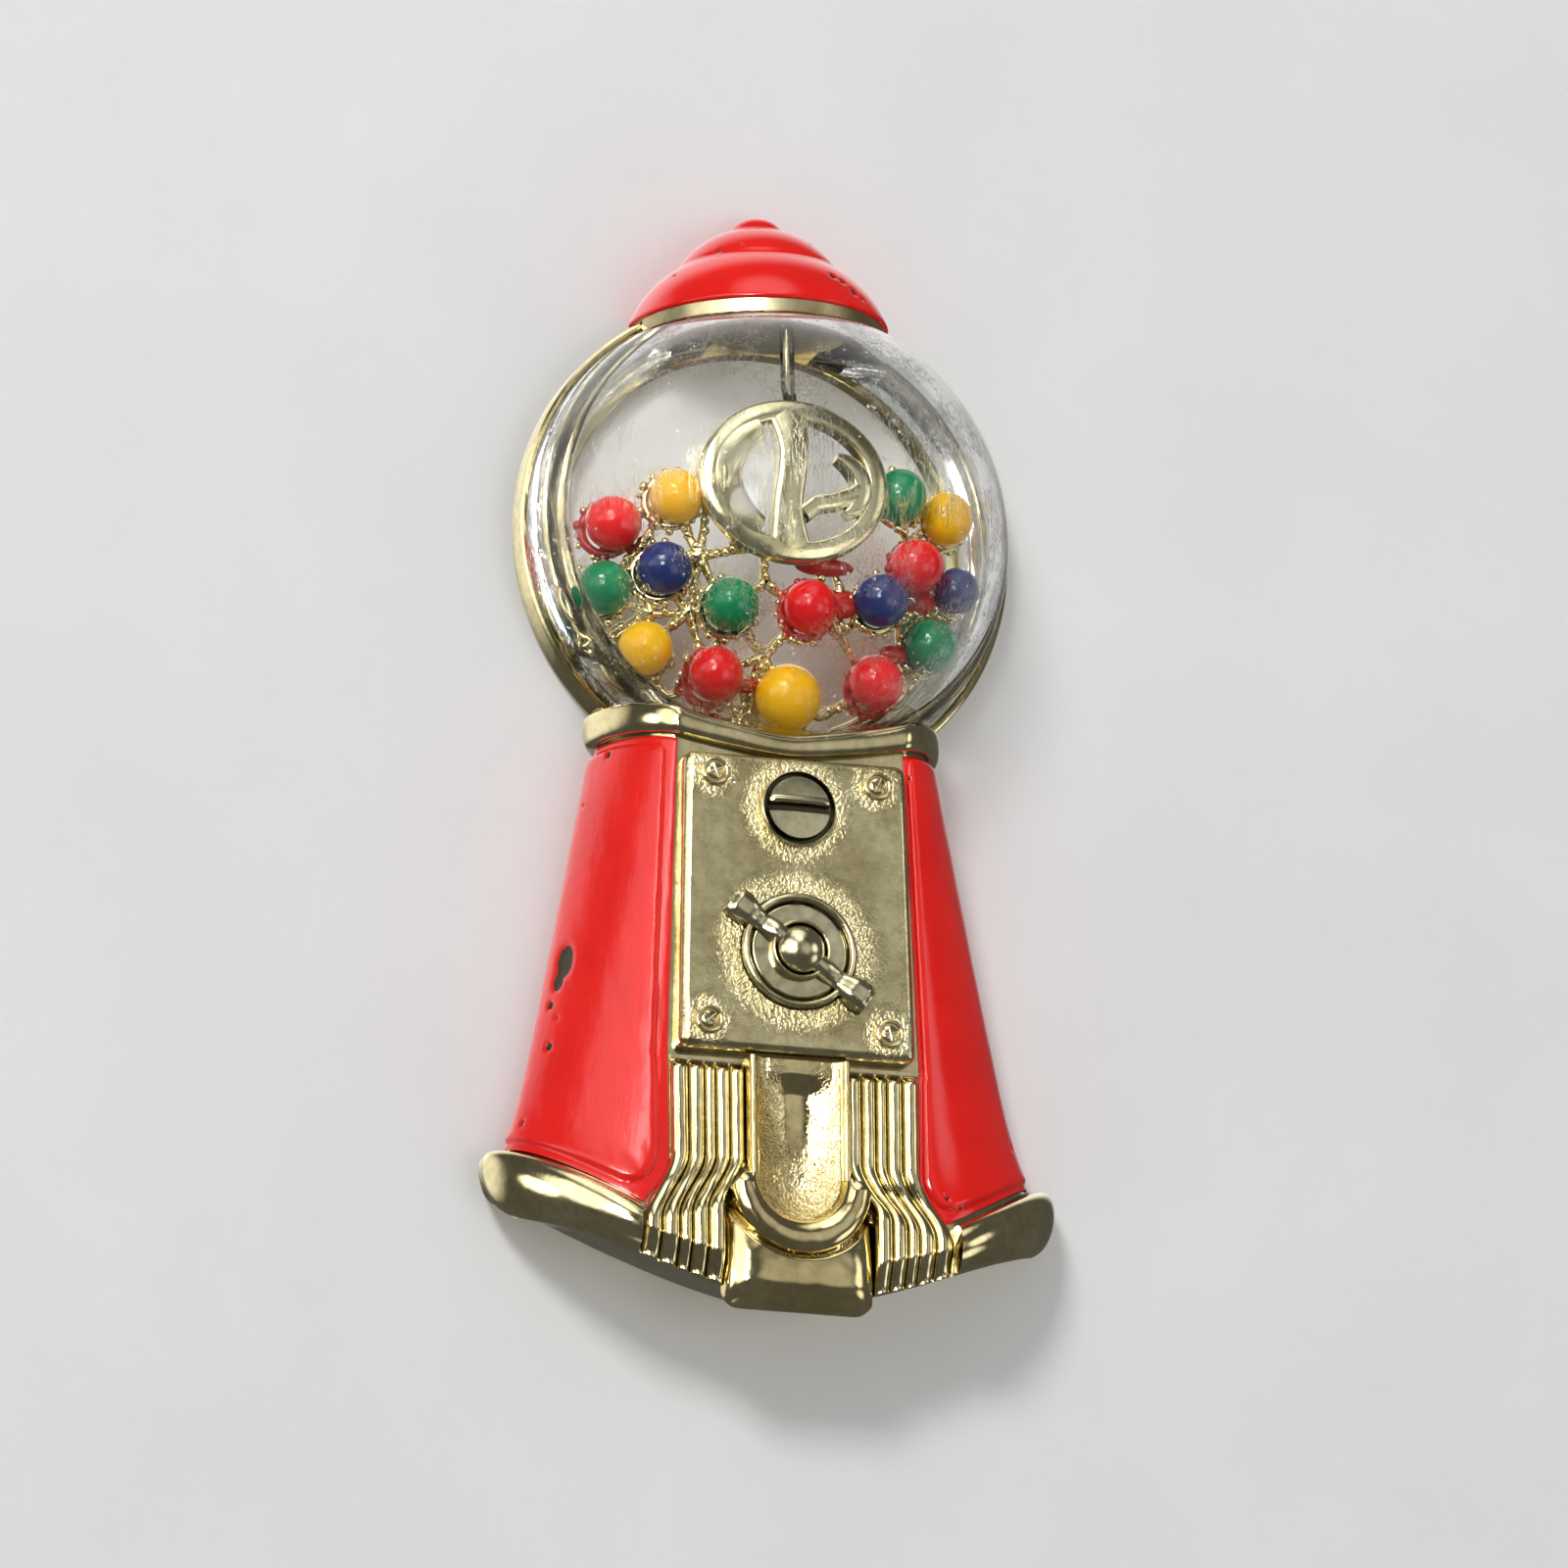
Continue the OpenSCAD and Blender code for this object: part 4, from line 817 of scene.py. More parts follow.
def casting():
    """Hollow-backed body. Its foot wall slopes up towards the back by the draft."""
    cols = round_columns(16, 24)

    def rows(levels, inset, top_dz, foot_dz, draft):
        top = body_row(1, inset, cols)
        top = with_z(top, collar_edge(top[:, 0]) + top_dz)
        foot = body_row(0, inset, cols)
        low = roll_low(foot[:, 0]) + 0.2 + foot_dz
        foot = with_z(foot, low + draft * np.clip(1 - foot[:, 1] / 1.4, 0, 1))
        return np.array([top * [1, 0, 1], top] + [body_row(t, inset, cols) for t in levels]
                        + [foot, with_z(foot * [1, 0, 1], low + draft)])

    outer = rows(LEVELS, ENAMEL, 0, 0, FOOT_DRAFT)
    inner = rows(0.05 + LEVELS * 0.89, ENAMEL + WALL, -WALL, WALL + FOOT_DRAFT, 0)
    s = Shape()
    s.shell(wobbled(outer, 3.0, 21, (0, 0.02, 0), 0.3), wobbled(inner, 2.2, 22, (0.03, 0.06, 0), 0.3),
            back_mat=1)
    s.make("pedestal_body", [GOLD, GOLD_CAST], ["pedestal_casting"], sharp=45)


def panel_row(t, edge, places):
    """Outer and inner (x, h) of points at those distances from the panel's inner edge."""
    ang = np.concatenate([np.linspace(90, 0, 120), np.zeros(20)])
    x, h = section(t, 0, [(1, q, 1) for q in ang])
    x0, h0 = section(t, ENAMEL - GAP, [(1, q, 1) for q in ang])
    flat = np.linspace(crease(t), min(edge, crease(t)), 21)[1:]
    x[-20:], x0[-20:] = flat, flat
    step = np.concatenate([[0], np.cumsum(np.hypot(np.diff(x), np.diff(h)))])
    inward = step[-1] - step
    if edge > crease(t):
        inward = inward - np.interp(-edge, -x[:120], inward[:120])
    order = np.argsort(inward)
    at = places * inward.max()
    return [np.interp(at, inward[order], v[order]) for v in (x, h, x0, h0)] + [at]


def apron_edge(z):
    """Outer edge of the flutes at a height."""
    v = (APRON_TOP - z) / (APRON_TOP - roll_low(APRON_OUT[1]))
    return APRON_OUT[0] + (APRON_OUT[1] - APRON_OUT[0]) * smooth(*OUT_BEND, v)


def round_corner(a, b, r):
    """Distance inside a corner of that radius, from the distances to its two sides."""
    return np.where((a < r) & (b < r), r - np.hypot(r - a, r - b), np.minimum(a, b))


# per side: piece, material, ledge left by the pillow (inner, lower, upper), weights of the fine
# and the soft wobble, and chips
PANELS = {
    -1: ("left", RED_LEFT, (0.62, 0.55, 0.5), (0.010, 0.022),
         [(-10.7, 1.9, 18.0, 0.52, 0.62), (-10.95, 1.6, 17.1, 0.34, 0.7), (-11.3, 1.5, 15.9, 0.2, 1),
          (-11.0, 2.0, 15.0, 0.1, 1), (-11.5, 1.8, 13.6, 0.2, 1), (-12.4, 1.2, 9.6, 0.1, 0.5),
          (-8.5, 2.4, 28.6, 0.16, 0.9), (-9.3, 1.0, 26.3, 0.09, 1)]),
    1: ("right", RED, (0.16, 0.4, 0.14), (0.004, 0.012),
        [(7.7, 5.1, 6.3, 0.12, 1), (8.3, 4.9, 6.2, 0.09, 1), (12.3, 2.0, 10.4, 0.12, 0.6),
         (6.0, 5.6, 27.6, 0.1, 1)]),
}


def panel(side):
    """Enamel panel: a thin ledge all round and a pillow inside it."""
    name, mat, ledge, wobble, chips = PANELS[side]
    n_r, n_c = 170, 92
    t_foot, t_top = 0.011, 0.994
    t = t_foot + (t_top - t_foot) * (1 - np.linspace(0, 1, n_r))
    w = np.linspace(0, 1, n_c)
    places = w ** 1.9 * 0.75 + 0.25 * w
    front, back = np.zeros((2, n_r, n_c + 5, 3))
    for i, ti in enumerate(t):
        z_in = float(skin_z(crease(ti), ti))
        # beside the apron the panel ends at the flutes, above it at the crease
        edge = float(np.where(z_in < APRON_TOP - 0.45, apron_edge(z_in) + 0.06, crease(ti) + 0.02))
        edge = min(edge, float(crease(ti)) + 0.03)
        x, h, x0, h0, d_in = panel_row(ti, edge, places)
        hs = np.linspace(SIDE_H, 0.3, 6)[1:]
        x, x0 = np.append(x, [x[-1]] * 5), np.append(x0, [x0[-1]] * 5)
        h, h0 = np.append(h, hs), np.append(h0, hs)
        d_in = np.append(d_in, d_in[-1] + SIDE_H - hs)
        d_out = d_in[-1] - d_in
        d_low = (ti - t[-1]) * (TOP_Z - FOOT_Z)
        d_top = (t[0] - ti) * (TOP_Z - FOOT_Z)
        rim = np.minimum(np.minimum(d_in, d_out), min(d_low, d_top))
        pillow = np.minimum(round_corner(d_in - ledge[0], d_low - ledge[1], 1.0),
                            round_corner(d_in - ledge[0], d_top - ledge[2], 0.55))
        low = 0.16 * dome_of(1 - np.clip(rim / 0.14, 0, 1)) + 0.06
        full = low + (1 - low) * dome_of(1 - np.clip(pillow / 0.42, 0, 1))
        full = np.where(d_out < 0.5, np.maximum(full, 0.3 * np.clip(d_out / 0.1, 0.2, 1)), full)
        z = skin_z(x, ti)
        front[i] = xhz(side * (x0 + (x - x0) * full), h0 + (h - h0) * full, z)
        back[i] = xhz(side * x0, h0, z)
    if side < 0:
        front, back = front[:, ::-1], back[:, ::-1]
    chip = chip_mask(front, chips)
    skin = front - back
    thick = np.maximum(np.linalg.norm(skin, axis=-1, keepdims=True), 1e-6)
    # brush marks run down and outwards
    marks = waves(front * [1.0, 0.6, 0.35] + front[..., 2:] * [0.45, 0, 0], 0.9, 31 + side)[..., None]
    soft = waves(front * [1, 1, 0.5], 3.0, 41 + side)[..., None]
    amount = wobble[0] * marks + wobble[1] * soft
    front = front - skin * (0.5 * chip[..., None]) + skin / thick * (amount * smooth(0.1, 0.3, thick))
    s = Shape()
    s.shell(front, back, mask=chip)
    s.make(name + "_panel_enamel", [mat], [name + "_enamel_panel"], 60)


def moulding(s, cols, t, bulge, hi, lo, n, power, nose=False):
    """Half-round moulding round the pedestal; with nose its ends round off towards the back."""
    turn = np.array([c[1] for c in cols], float)
    w = dome_of(np.clip((turn - 58) / 45, 0, 1)) if nose else 1.0
    x0, h0 = section(t, 0, cols)
    xb, hb = section(t, ENAMEL - GAP, cols)
    front, back = [], []
    for q in np.linspace(0, math.pi, n + 1):
        x, h = section(t, -bulge * math.sin(q) ** power, cols)
        x, h = x0 + (x - x0) * w, h0 + (h - h0) * w
        z = hi(x) + (lo(x) - hi(x)) * ((1 - math.cos(q)) / 2 * w)
        front.append(xhz(x, h, z))
        back.append(xhz(xb, hb, z))
    seed = int(10 * abs(bulge)) + 5
    s.shell(wobbled(np.array(front), 2.4, seed, (0, 0.02, 0.012), 0.2), np.array(back))


def collar():
    s = Shape()
    moulding(s, round_columns(26, 40), 1, COLLAR_BULGE, collar_edge, lambda x: skin_z(x, 1) + GAP, 18, 0.8)
    s.make("collar_moulding", [GOLD], ["collar"])


def rolls():
    s = Shape()
    for side in (-1, 1):
        cols = [(side, 90, 0)] + [(side, a, 1) for a in np.linspace(90, 3, 44)]
        if side > 0:
            cols = cols[::-1]
        moulding(s, cols, 0, ROLL_BULGE, lambda x: skin_z(x, 0) - GAP, roll_low, 30, 0.95, True)
    s.make("foot_roll_mouldings", [GOLD], ["foot_rolls"])


# ---------------------------------------------------------------- plate and its relief
def rounded(points, r):
    """Rounds the corners of an (x, z) outline that runs anticlockwise."""
    out = []
    m, n = len(points), 6
    for i in range(m):
        a, b, c = (np.array(points[(i + k) % m], float) for k in (-1, 0, 1))
        u, w = (a - b) / np.linalg.norm(a - b), (c - b) / np.linalg.norm(c - b)
        half = math.acos(np.clip(u @ w, -1, 1)) / 2
        d = r / math.tan(half)
        mid = b + (u + w) / np.linalg.norm(u + w) * r / math.sin(half)
        a0, a1 = (math.atan2(*(b + q * d - mid)[::-1]) for q in (u, w))
        da = (a1 - a0 + math.pi) % (2 * math.pi) - math.pi
        for k in range(n + 1):
            a = a0 + da * k / n
            out.append(mid + r * np.array([math.cos(a), math.sin(a)]))
    return np.array(out)


def dense(points, step):
    """Adds points along an outline, about that far apart."""
    out = []
    for a, b in zip(points, np.roll(points, -1, axis=0)):
        k = max(1, int(np.linalg.norm(b - a) / step))
        out += [a + (b - a) * i / k for i in range(k)]
    return np.array(out)


def inset_outline(points, d):
    t = np.roll(points, -1, axis=0) - np.roll(points, 1, axis=0)
    t /= np.linalg.norm(t, axis=1)[:, None]
    return points - np.stack([t[:, 1], -t[:, 0]], 1) * d


# places on the plate, x and z
SCREWS = [(-4.2, 27.0), (4.12, 26.85), (-4.62, 14.3), (4.62, 14.25)]
COIN = (0.0, 25.35)
DIAL = (0.0, 18.1)
RELIEF_H = PLATE_H + GAP


def plate():
    """Flat face with a rounded edge all round, a little lower towards its sides."""
    def sand(x, z):
        """Sand grain round the relief."""
        m = 1 - smooth(2.0, 3.3, np.hypot(x - COIN[0], z - COIN[1]))
        m = np.maximum(m, 1 - smooth(3.2, 4.8, np.hypot(x - DIAL[0], z - DIAL[1])))
        for sx, sz in SCREWS:
            m = np.maximum(m, 0.8 * (1 - smooth(0.9, 1.6, np.hypot(x - sx, z - sz))))
        return 0.10 + 0.90 * m

    corners = [(-6.07, 12.9), (6.07, 12.9), (5.66, 28.05), (-5.66, 28.05)]
    outline = dense(rounded(corners, 0.5), 0.3)
    edge, steps, rings = 0.48, 9, 26
    rows = [(outline, CASTING_H + GAP), (outline, PLATE_H - edge)]
    for f in (k / steps * math.pi / 2 for k in range(1, steps + 1)):
        rows.append((inset_outline(outline, edge * (1 - math.cos(f))), PLATE_H - edge + edge * math.sin(f)))
    last = rows[-1][0]
    c = last.mean(axis=0)
    rows += [(c + (last - c) * (1 - k / rings), PLATE_H) for k in range(1, rings)]
    p = np.array([xhz(o[:, 0], h, o[:, 1]) for o, h in rows])
    top = p[steps + 2:]
    x, z = top[..., 0], top[..., 2]
    top[..., 1] += 0.018 * flat_waves(x, z, 4.0, 41) - 0.03 * smooth(4.2, 5.2, np.abs(x))
    s = Shape()
    first = s.grid(p, wrap=True, mask=sand(p[..., 0], p[..., 2]))
    n = len(outline)
    for base in (first, first + (len(rows) - 1) * n):
        s.face(range(base, base + n))
    s.make("coin_plate_face", [GOLD_SATIN], ["coin_plate"])


def screws():
    """Cross-slotted screw heads, the cross in relief as cast."""
    s = Shape()
    h = RELIEF_H
    for i, (x, z) in enumerate(SCREWS):
        prof = [(0.72, h - 0.03), (0.72, h + 0.10), (0.68, h + 0.17), (0.61, h + 0.19), (0.55, h + 0.16),
                (0.52, h + 0.08), (0.46, h + 0.08), (0.41, h + 0.16), (0.28, h + 0.2), (0.001, h + 0.21)]
        first = s.lathe(prof, x, z, 40)
        s.face(range(first, first + 40))
        turn = math.radians((20, 65, 40, 10)[i])
        for q in (turn, turn + math.pi / 2):
            d = np.array([math.cos(q), math.sin(q)])
            s.tube([(x + d[0] * u, h + 0.185 + 0.02 * (1 - abs(u) / 0.4), z + d[1] * u)
                    for u in np.linspace(-0.38, 0.38, 7)], 0.055, 8)
    s.make("plate_screw_heads", [GOLD], ["plate_screws"], sharp=55)


def disc_field(s, centre, r, height, rows, cols, mask):
    """Height field over a disc on the plate: height(x, z) from the disc's centre."""
    cx, cz = centre
    rr = np.linspace(0.002, 1, rows) * r
    a = np.linspace(0, 2 * math.pi, cols, endpoint=False)
    x = rr[:, None] * np.cos(a)[None]
    z = rr[:, None] * np.sin(a)[None]
    p = xhz(cx + x, RELIEF_H + height(x, z), cz + z)
    wall = p[-1:] * [1, 0, 1] + [0, RELIEF_H, 0]
    first = s.grid(np.concatenate([p, wall]), wrap=True,
                   mask=np.concatenate([mask(x, z), np.zeros((1, cols))]))
    for base in (first + rows * cols, first):
        s.face(range(base, base + cols))


def coin_entry():
    """Slotted boss in a groove with a thin bright rim; painted shade darkens the groove and the slot."""
    s = Shape()

    # painted shade as well as shape: this mask cuts the groove and the slot down and darkens them almost to
    # black
    def dark(x, z):
        r = np.hypot(x, z)
        groove = smooth(1.56, 1.62, r) * (1 - smooth(1.78, 1.83, r))
        slot = (1 - smooth(0.17, 0.24, np.abs(z + 0.02))) * (1 - smooth(1.55, 1.62, r))
        return np.maximum(groove, slot)

    def height(x, z):
        r = np.hypot(x, z)
        h = 0.44 + 0.11 * (1 - (r / 1.6) ** 2)
        h = h + 0.07 * peak(z, 0.36, 0.1) * (1 - smooth(1.3, 1.55, r))
        h = np.where(r > 1.8, 0.36 * dome_of((r - 1.84) / 0.09) + 0.02, h)
        return np.maximum(h - 0.42 * dark(x, z), 0.02)

    disc_field(s, COIN, 1.92, height, 70, 200, dark)
    s.make("coin_entry_boss", [GOLD_RELIEF], ["coin_entry"], sharp=60)


def dial():
    """Disc with a raised ring between two grooves darkened by painted shade."""
    s = Shape()

    # painted shade as well as shape: this mask lowers the two grooves and darkens them
    def dark(x, z):
        r = np.hypot(x, z)
        return np.maximum(peak(r, 2.50, 0.09), smooth(2.90, 2.95, r))

    def height(x, z):
        r = np.hypot(x, z)
        h = 0.15 + 0.02 * flat_waves(x, z, 0.8, 51) + 0.22 * dome_of((r - 2.73) / 0.21)
        return np.maximum(h - 0.15 * dark(x, z), 0.02)

    disc_field(s, DIAL, 3.0, height, 90, 200, dark)
    s.make("dial_disc", [GOLD_RELIEF], ["dial_ring"], sharp=60)


def handle():
    """Bar with flared ends and a round hub in a collar."""
    s = Shape()
    tilt = math.radians(-34.5)
    u = np.linspace(-4.2, 4.2, 81)
    au = np.abs(u)
    wid = (0.60 + 0.24 * smooth(2.5, 3.5, au) - 0.12 * smooth(3.85, 4.2, au)
           - 0.06 * peak(au, 2.2, 0.4))
    top = (0.72 - 0.20 * peak(au, 2.3, 0.5) + 0.08 * smooth(2.6, 3.3, au)
           - 0.2 * smooth(3.9, 4.2, au))
    f = np.linspace(0, math.pi, 25)
    c = np.sign(np.cos(f)) * np.abs(np.cos(f)) ** 0.85
    sn = np.sin(f) ** 0.75
    v = wid[:, None] * c[None]
    hollow = 0.05 * peak(c, 0, 0.4)[None] * smooth(1.4, 2.4, au)[:, None]
    hh = RELIEF_H + top[:, None] * sn[None] - hollow
    x = u[:, None] * math.cos(tilt) - v * math.sin(tilt)
    z = u[:, None] * math.sin(tilt) + v * math.cos(tilt)
    # painted shade: dark lines along the bar's two long edges
    edge_shade = np.repeat((np.abs(np.cos(f))[None] > 0.985), len(u), 0) * 0.8
    p = wobbled(xhz(DIAL[0] + x, hh, DIAL[1] + z), 1.0, 81, (0, 0.015, 0))
    first = s.grid(p, mask=edge_shade)
    n, m = len(f), len(u)
    last = first + (m - 1) * n
    s.face(range(first, first + n))
    s.face(range(last, last + n))
    s.face([*range(first, last + 1, n), *range(last + n - 1, first, -n)])

    def hub(x, z):
        r = np.hypot(x, z)
        ball = np.sqrt(np.clip(1.24 ** 2 - r * r, 0, None)) * 0.68 + 0.30
        round_it = 0.48 * dome_of((r - 1.41) / 0.14) + 0.12
        return np.maximum(np.where(r < 1.23, ball, 0.0), np.where(r > 1.26, round_it, 0.0)).clip(0.1)

    # painted shade: a dark line in the groove round the hub
    def dark(x, z):
        return peak(np.hypot(x, z), 1.255, 0.05)

    disc_field(s, DIAL, 1.55, hub, 60, 140, dark)
    s.make("turn_handle_bar", [GOLD_RELIEF], ["turn_handle"], sharp=60)


# ---------------------------------------------------------------- apron and chute
BLOCK_HALF, BLOCK_TOP, BLOCK_H = 3.85, 5.2, 6.9
TROUGH, BEAD_R = 2.2, 0.38
BEND = BLOCK_TOP + 2.2
APRON_IN = (TROUGH + BEAD_R + GAP, BLOCK_HALF + GAP)
# where the five flutes begin and end, from the chute outwards
FLUTES = np.cumsum([0, 0.205, 0.195, 0.15, 0.215, 0.235])


def apron():
    """Two sets of half-round flutes that step outwards and forwards at their bend."""
    s = Shape()

    def share(z, x):
        return (APRON_TOP - z) / (APRON_TOP - roll_low(x))

    u = np.linspace(0, 1, 201)[None, :]
    v = np.linspace(0, 1, 130)[:, None]
    b0 = share(BEND, APRON_IN[1]) * (1 - u) + OUT_BEND[0] * u
    b1 = share(BLOCK_TOP + 0.04, APRON_IN[1]) * (1 - u) + OUT_BEND[1] * u
    shift = smooth(0, 1, (v - b0 + 0.03) / (b1 - b0 + 0.06))
    x_low = APRON_IN[1] * (1 - u) + APRON_OUT[1] * u
    x = (APRON_IN[0] * (1 - u) + APRON_OUT[0] * u) * (1 - shift) + x_low * shift
    z = APRON_TOP + (roll_low(x_low) + GAP - APRON_TOP) * v
    swell = 0.15 + 0.75 * shift * (1 - 0.75 * smooth(0.86, 1, v))
    dip = 0.2 * peak(v, 0.5 * (b0 + b1), 0.3 * (b1 - b0))
    k = np.clip(np.searchsorted(FLUTES, u[0], side="right") - 1, 0, 4)
    f = (u[0] - FLUTES[k]) / (FLUTES[k + 1] - FLUTES[k])
    wide = (FLUTES[k + 1] - FLUTES[k]) / 0.2
    ridge = dome_of(2 * f - 1) * (0.75 + 0.25 * wide)
    ends = smooth(0.02, 0.065, v)
    scallop = 1 - 0.6 * smooth(0.97, 1, v) * (1 - ridge[None, :])
    h = CASTING_H + swell + 0.4 * ridge[None, :] * ends * scallop - 0.45 * u * shift - dip
    for side in (-1, 1):
        p = wobbled(xhz(side * x, h, z), 1.6, 61 + side, (0, 0.018, 0))
        p[..., 1] = np.maximum(p[..., 1], CASTING_H + 0.06)
        if side < 0:
            p = p[:, ::-1]
        s.shell(p, xhz(p[..., 0], CASTING_H + GAP, p[..., 2]))
    s.make("fluted_apron_reeds", [GOLD], ["fluted_apron"], sharp=60)


def scoop():
    """Trough, bowl, thick rolled lip and chin as one height field over the block's outline."""
    s = Shape()
    back = CASTING_H + GAP
    n_z, n_x = 290, 141
    zz = np.linspace(APRON_TOP, 0, n_z)
    k = smooth(0, 1, (BEND - zz) / (BEND - BLOCK_TOP - 0.05))
    half = (TROUGH + BEAD_R) * (1 - k) + BLOCK_HALF * k
    corner = 0.9
    half = np.where(zz < corner, BLOCK_HALF - corner
                    + np.sqrt(np.clip(corner ** 2 - (corner - zz) ** 2, 0, None)), half)
    x = half[:, None] * np.linspace(-1, 1, n_x)[None]
    z = np.repeat(zz[:, None], n_x, 1)
    ax = np.abs(x)
    bowl_z, lip_z, lip_out = 6.6, 6.2, 3.6
    # distance outside the hollow, and outside the lip's outer edge
    d_in = np.where(z > bowl_z, ax, np.hypot(ax, z - bowl_z)) - TROUGH
    d_out = np.hypot(ax, z - lip_z) - lip_out
    rel = np.clip(1 + d_in / TROUGH, 0, 1)
    floor = 0.20 + 0.78 * rel ** 2.2
    tab = smooth(10.9, 12.1, z) * (1 - smooth(1.4, 2.2, ax))
    floor = floor + (0.75 - floor) * tab
    # half-round walls beside the trough
    wall = 0.80 + 0.36 * dome_of((d_in - 0.19) / 0.21)
    across = np.clip(d_in / np.maximum(d_in - d_out, 1e-3), 0, 1)
    lip = 1.05 + 0.60 * dome_of(2 * across - 1)
    low = smooth(7.6, 6.0, z)
    rim = wall * (1 - low) + lip * low
    shoulder = (0.15 + 1.05 * low) * (1 - 0.35 * smooth(0.4, 1.6, d_in))
    chin = 1.52 * np.sqrt(np.clip(1 - (ax / (BLOCK_HALF + 0.03)) ** 5, 0, 1))
    chin = chin - 0.10 * ((z - 1.9) / 1.5) ** 2
    chin = chin * np.sqrt(np.clip(1 - np.clip((1.3 - z) / 1.36, 0, 1) ** 2, 0.04, 1))
    groove = peak(d_out, 0.10, 0.11) * smooth(6.8, 5.6, z)
    outside = np.where(z > 5.4, shoulder + (chin - shoulder) * smooth(6.4, 5.0, z), chin)
    h = np.where(d_in < 0, floor, np.where((d_out < 0) & (z < 7.4), rim,
                                           np.where(z > bowl_z, wall, outside)))
    h = np.where((d_in >= 0) & (z > bowl_z), np.maximum(np.where(d_in < 0.42, wall, 0), shoulder), h)
    h = h - 0.32 * groove * (d_in > 0.1)
    h = h + 0.012 * flat_waves(x, z, 1.3, 71)
    h = np.clip(h, 0.1, BLOCK_H - back + 0.02)
    sand = np.where(d_in < -0.1, smooth(0.1, 0.6, rel) * 0.5 + 0.8 * smooth(9.5, 6.5, z), 0.0)
    s.shell(xhz(x, back + h, z), xhz(x, back, z), mask=sand)
    s.make("chute_scoop_cast", [GOLD_CHUTE], ["chute_scoop"], sharp=60)


for build in (cap, ring, dome, beads, lattice, medallion, casting, collar, rolls, plate, screws,
              coin_entry, dial, handle, apron, scoop):
    build()
panel(-1)
panel(1)

# CAD nodes that show as they are
finding = ("pin_base_bar", "pin_joint", "joint_rivet", "pin_stem", "catch_housing", "catch_rotor")
for name, mat in [("cap_casting", GOLD_CAST)] + [(part, STEEL) for part in finding]:
    nodes[name].data.materials.clear()
    nodes[name].data.materials.append(mat)


# ---------------------------------------------------------------- stage, light and camera
def stage():
    """Pale board behind the brooch, seen from the front only."""
    m, k = new_material("board")
    tone = k.ramp(k.noise(14, 4), [(0.3, (0.80, 0.80, 0.79)), (0.7, (0.84, 0.84, 0.83))])
    board = k.principled(Base_Color=tone, Roughness=0.9)
    clear = k.node("ShaderNodeBsdfTransparent").outputs[0]
    behind = k.node("ShaderNodeNewGeometry").outputs["Backfacing"]
    k.surface(k.mix_shaders(behind, board, clear))
    w, y = 0.9, 0.00015
    ob = linked_mesh("board", [(-w, y, -w), (w, y, -w), (w, y, w), (-w, y, w)], [(0, 1, 2, 3)])
    ob.data.materials.append(m)
    ob.visible_shadow = False
    ob.visible_glossy = False


TO_CAMERA = Vector((-0.288, -0.913, -0.288)).normalized()
RIGHT = Vector((0.955, -0.298, -0.010))
UP = Vector((-0.078, -0.277, 0.957))
TARGET = Vector((1.33 * MM, 0, (28.6 - LIP_TO_ORIGIN) * MM))
CAMERA_DISTANCE = 2.3096


def camera():
    """A long lens from far off, because the photograph shows next to no perspective."""
    cam = bpy.data.cameras.new("camera")
    cam.lens = 1080
    cam.sensor_width = 36
    cam.clip_start, cam.clip_end = 0.05, 50
    ob = bpy.data.objects.new("camera", cam)
    right = (RIGHT - RIGHT.dot(TO_CAMERA) * TO_CAMERA).normalized()
    turn = Matrix((right, TO_CAMERA.cross(right), TO_CAMERA)).transposed().to_4x4()
    ob.matrix_world = Matrix.Translation(TARGET + TO_CAMERA * CAMERA_DISTANCE) @ turn
    bpy.context.scene.collection.objects.link(ob)
    bpy.context.scene.camera = ob


def toward(right, up, front):
    """Direction as the camera sees it."""
    return RIGHT * right + UP * up + TO_CAMERA * front


def around(turn, rise_deg):
    """Direction in front of the brooch, turned to its right and raised, in degrees."""
    a, e = math.radians(turn), math.radians(rise_deg)
    return Vector((math.sin(a) * math.cos(e), -math.cos(a) * math.cos(e), math.sin(e)))


# name, direction, distance and size in metres, watts
LAMPS = [("key", toward(-0.25, 0.85, 0.75), 0.5, 0.12, 1.25),
         ("fill", toward(0.7, -0.1, 0.8), 0.6, 0.3, 0.5),
         ("back_fill", (0.3, 1.0, 0.5), 0.6, 0.3, 1.1),
         ("back_low", (-0.6, 0.9, -0.2), 0.6, 0.3, 0.6)]
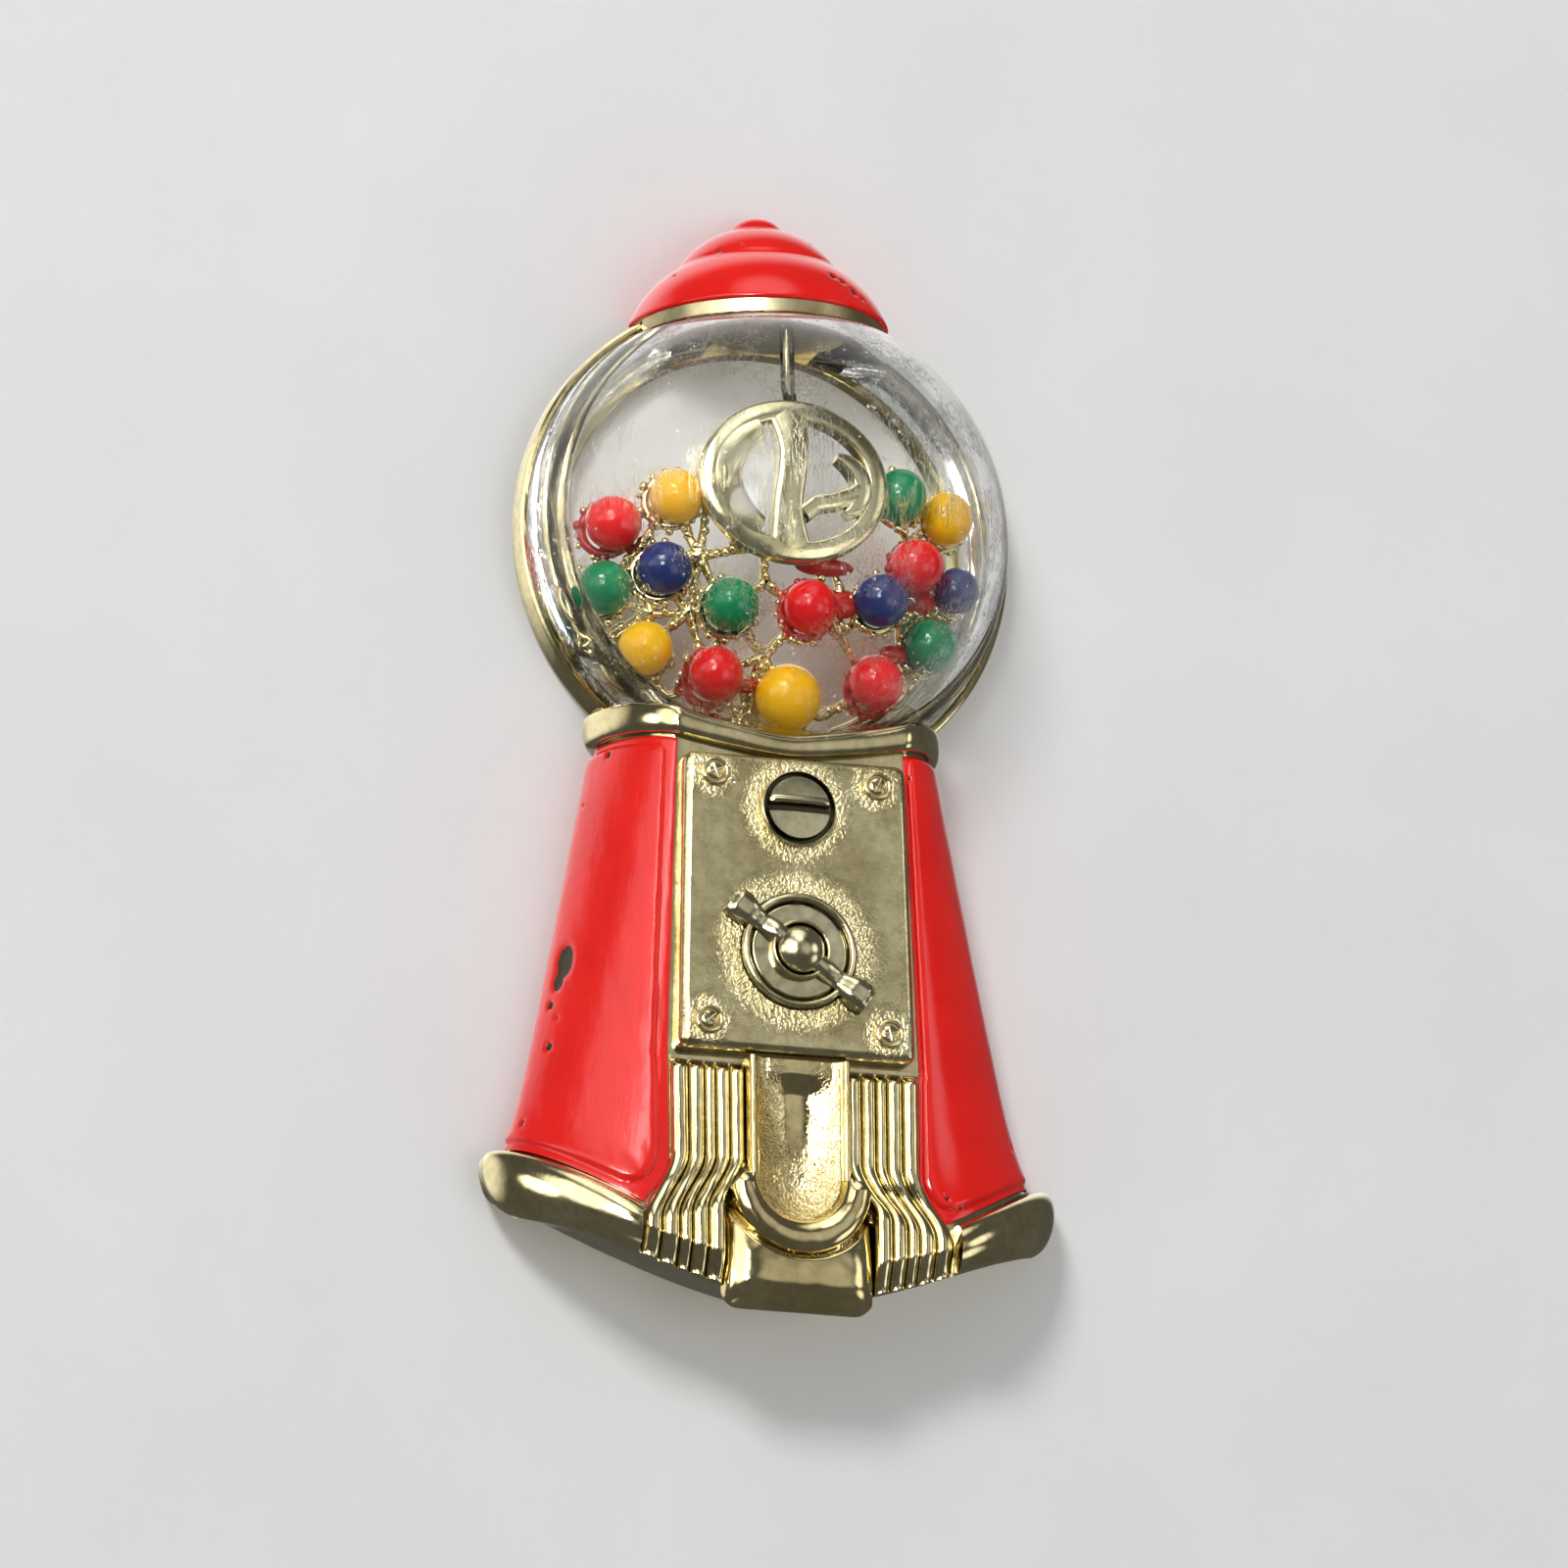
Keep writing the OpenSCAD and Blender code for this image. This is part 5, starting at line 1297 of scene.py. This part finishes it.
# soft boxes: direction, angles in degrees at which a box is full and where it ends, strength
BOXES = [(around(-42, 16), 17, 29, 1.7), (around(52, 12), 5, 14, 1.3), (around(0, 40), 6, 14, 1.5),
         (toward(-0.12, 0.36, 0.92), 5.0, 8.5, 48.0), (around(20, 8), 2, 24, 0.40),
         (around(-74, 8), 6, 14, 2.6), (toward(0, 0.62, 0.79), 3.0, 5.5, 13.0),
         (toward(0.1, 0.97, 0.2), 8, 26, 1.4), (toward(0.9, -0.2, 0.3), 4, 16, 1.2),
         (toward(-0.2, -0.85, 0.5), 2, 12, 0.4),
         ((0.1, 1.0, 0.9), 15, 38, 1.0), ((-0.8, 0.75, 0.35), 12, 35, 0.9)]
SHINE, AMBIENT, GROUND = 0.09, (0.40, 0.40, 0.41), (0.80, 0.80, 0.79)


def lights():
    for name, direction, dist, size, power in LAMPS:
        li = bpy.data.lights.new(name, "AREA")
        li.size = size
        li.energy = power
        ob = bpy.data.objects.new(name, li)
        d = Vector(direction).normalized()
        ob.location = TARGET + d * dist
        ob.rotation_euler = d.to_track_quat("Z", "Y").to_euler()
        ob.visible_glossy = False
        bpy.context.scene.collection.objects.link(ob)


def world_light():
    """Even light on the object, a pale ground for the camera, and soft boxes for the metal."""
    w = bpy.data.worlds.new("studio")
    bpy.context.scene.world = w
    w.use_nodes = True
    k = Nodes(w.node_tree, "Generated")
    shine = SHINE
    for direction, full, end, power in BOXES:
        dot = k.nt.nodes.new("ShaderNodeVectorMath")
        dot.operation = "DOT_PRODUCT"
        k.plug(dot, {0: k.coord, 1: Vector(direction).normalized()})
        box = k.node("ShaderNodeMapRange", Value=dot.outputs["Value"], To_Max=power,
                     From_Min=math.cos(math.radians(end)), From_Max=math.cos(math.radians(full)))
        box.interpolation_type = "SMOOTHSTEP"
        shine = k.math("ADD", box.outputs[0], shine)
    path = k.node("ShaderNodeLightPath").outputs
    # a reflection still counts as one after it has passed through the clear dome
    diffuse = k.math("MINIMUM", path["Diffuse Depth"], 1.0)
    glossy = k.times(k.math("MINIMUM", path["Glossy Depth"], 1.0), k.math("SUBTRACT", 1.0, diffuse))
    seen = k.math("SUBTRACT", k.math("SUBTRACT", 1.0, diffuse), glossy, True)
    pale = k.times(k.math("MAXIMUM", path["Is Camera Ray"], path["Is Transmission Ray"]), seen)
    colour = k.mix(pale, k.mix(glossy, AMBIENT, shine), GROUND)
    background = k.node("ShaderNodeBackground", Color=colour)
    k.node("ShaderNodeOutputWorld", Surface=background.outputs[0])


stage()
camera()
lights()
world_light()
bpy.context.scene.view_settings.view_transform = "Standard"
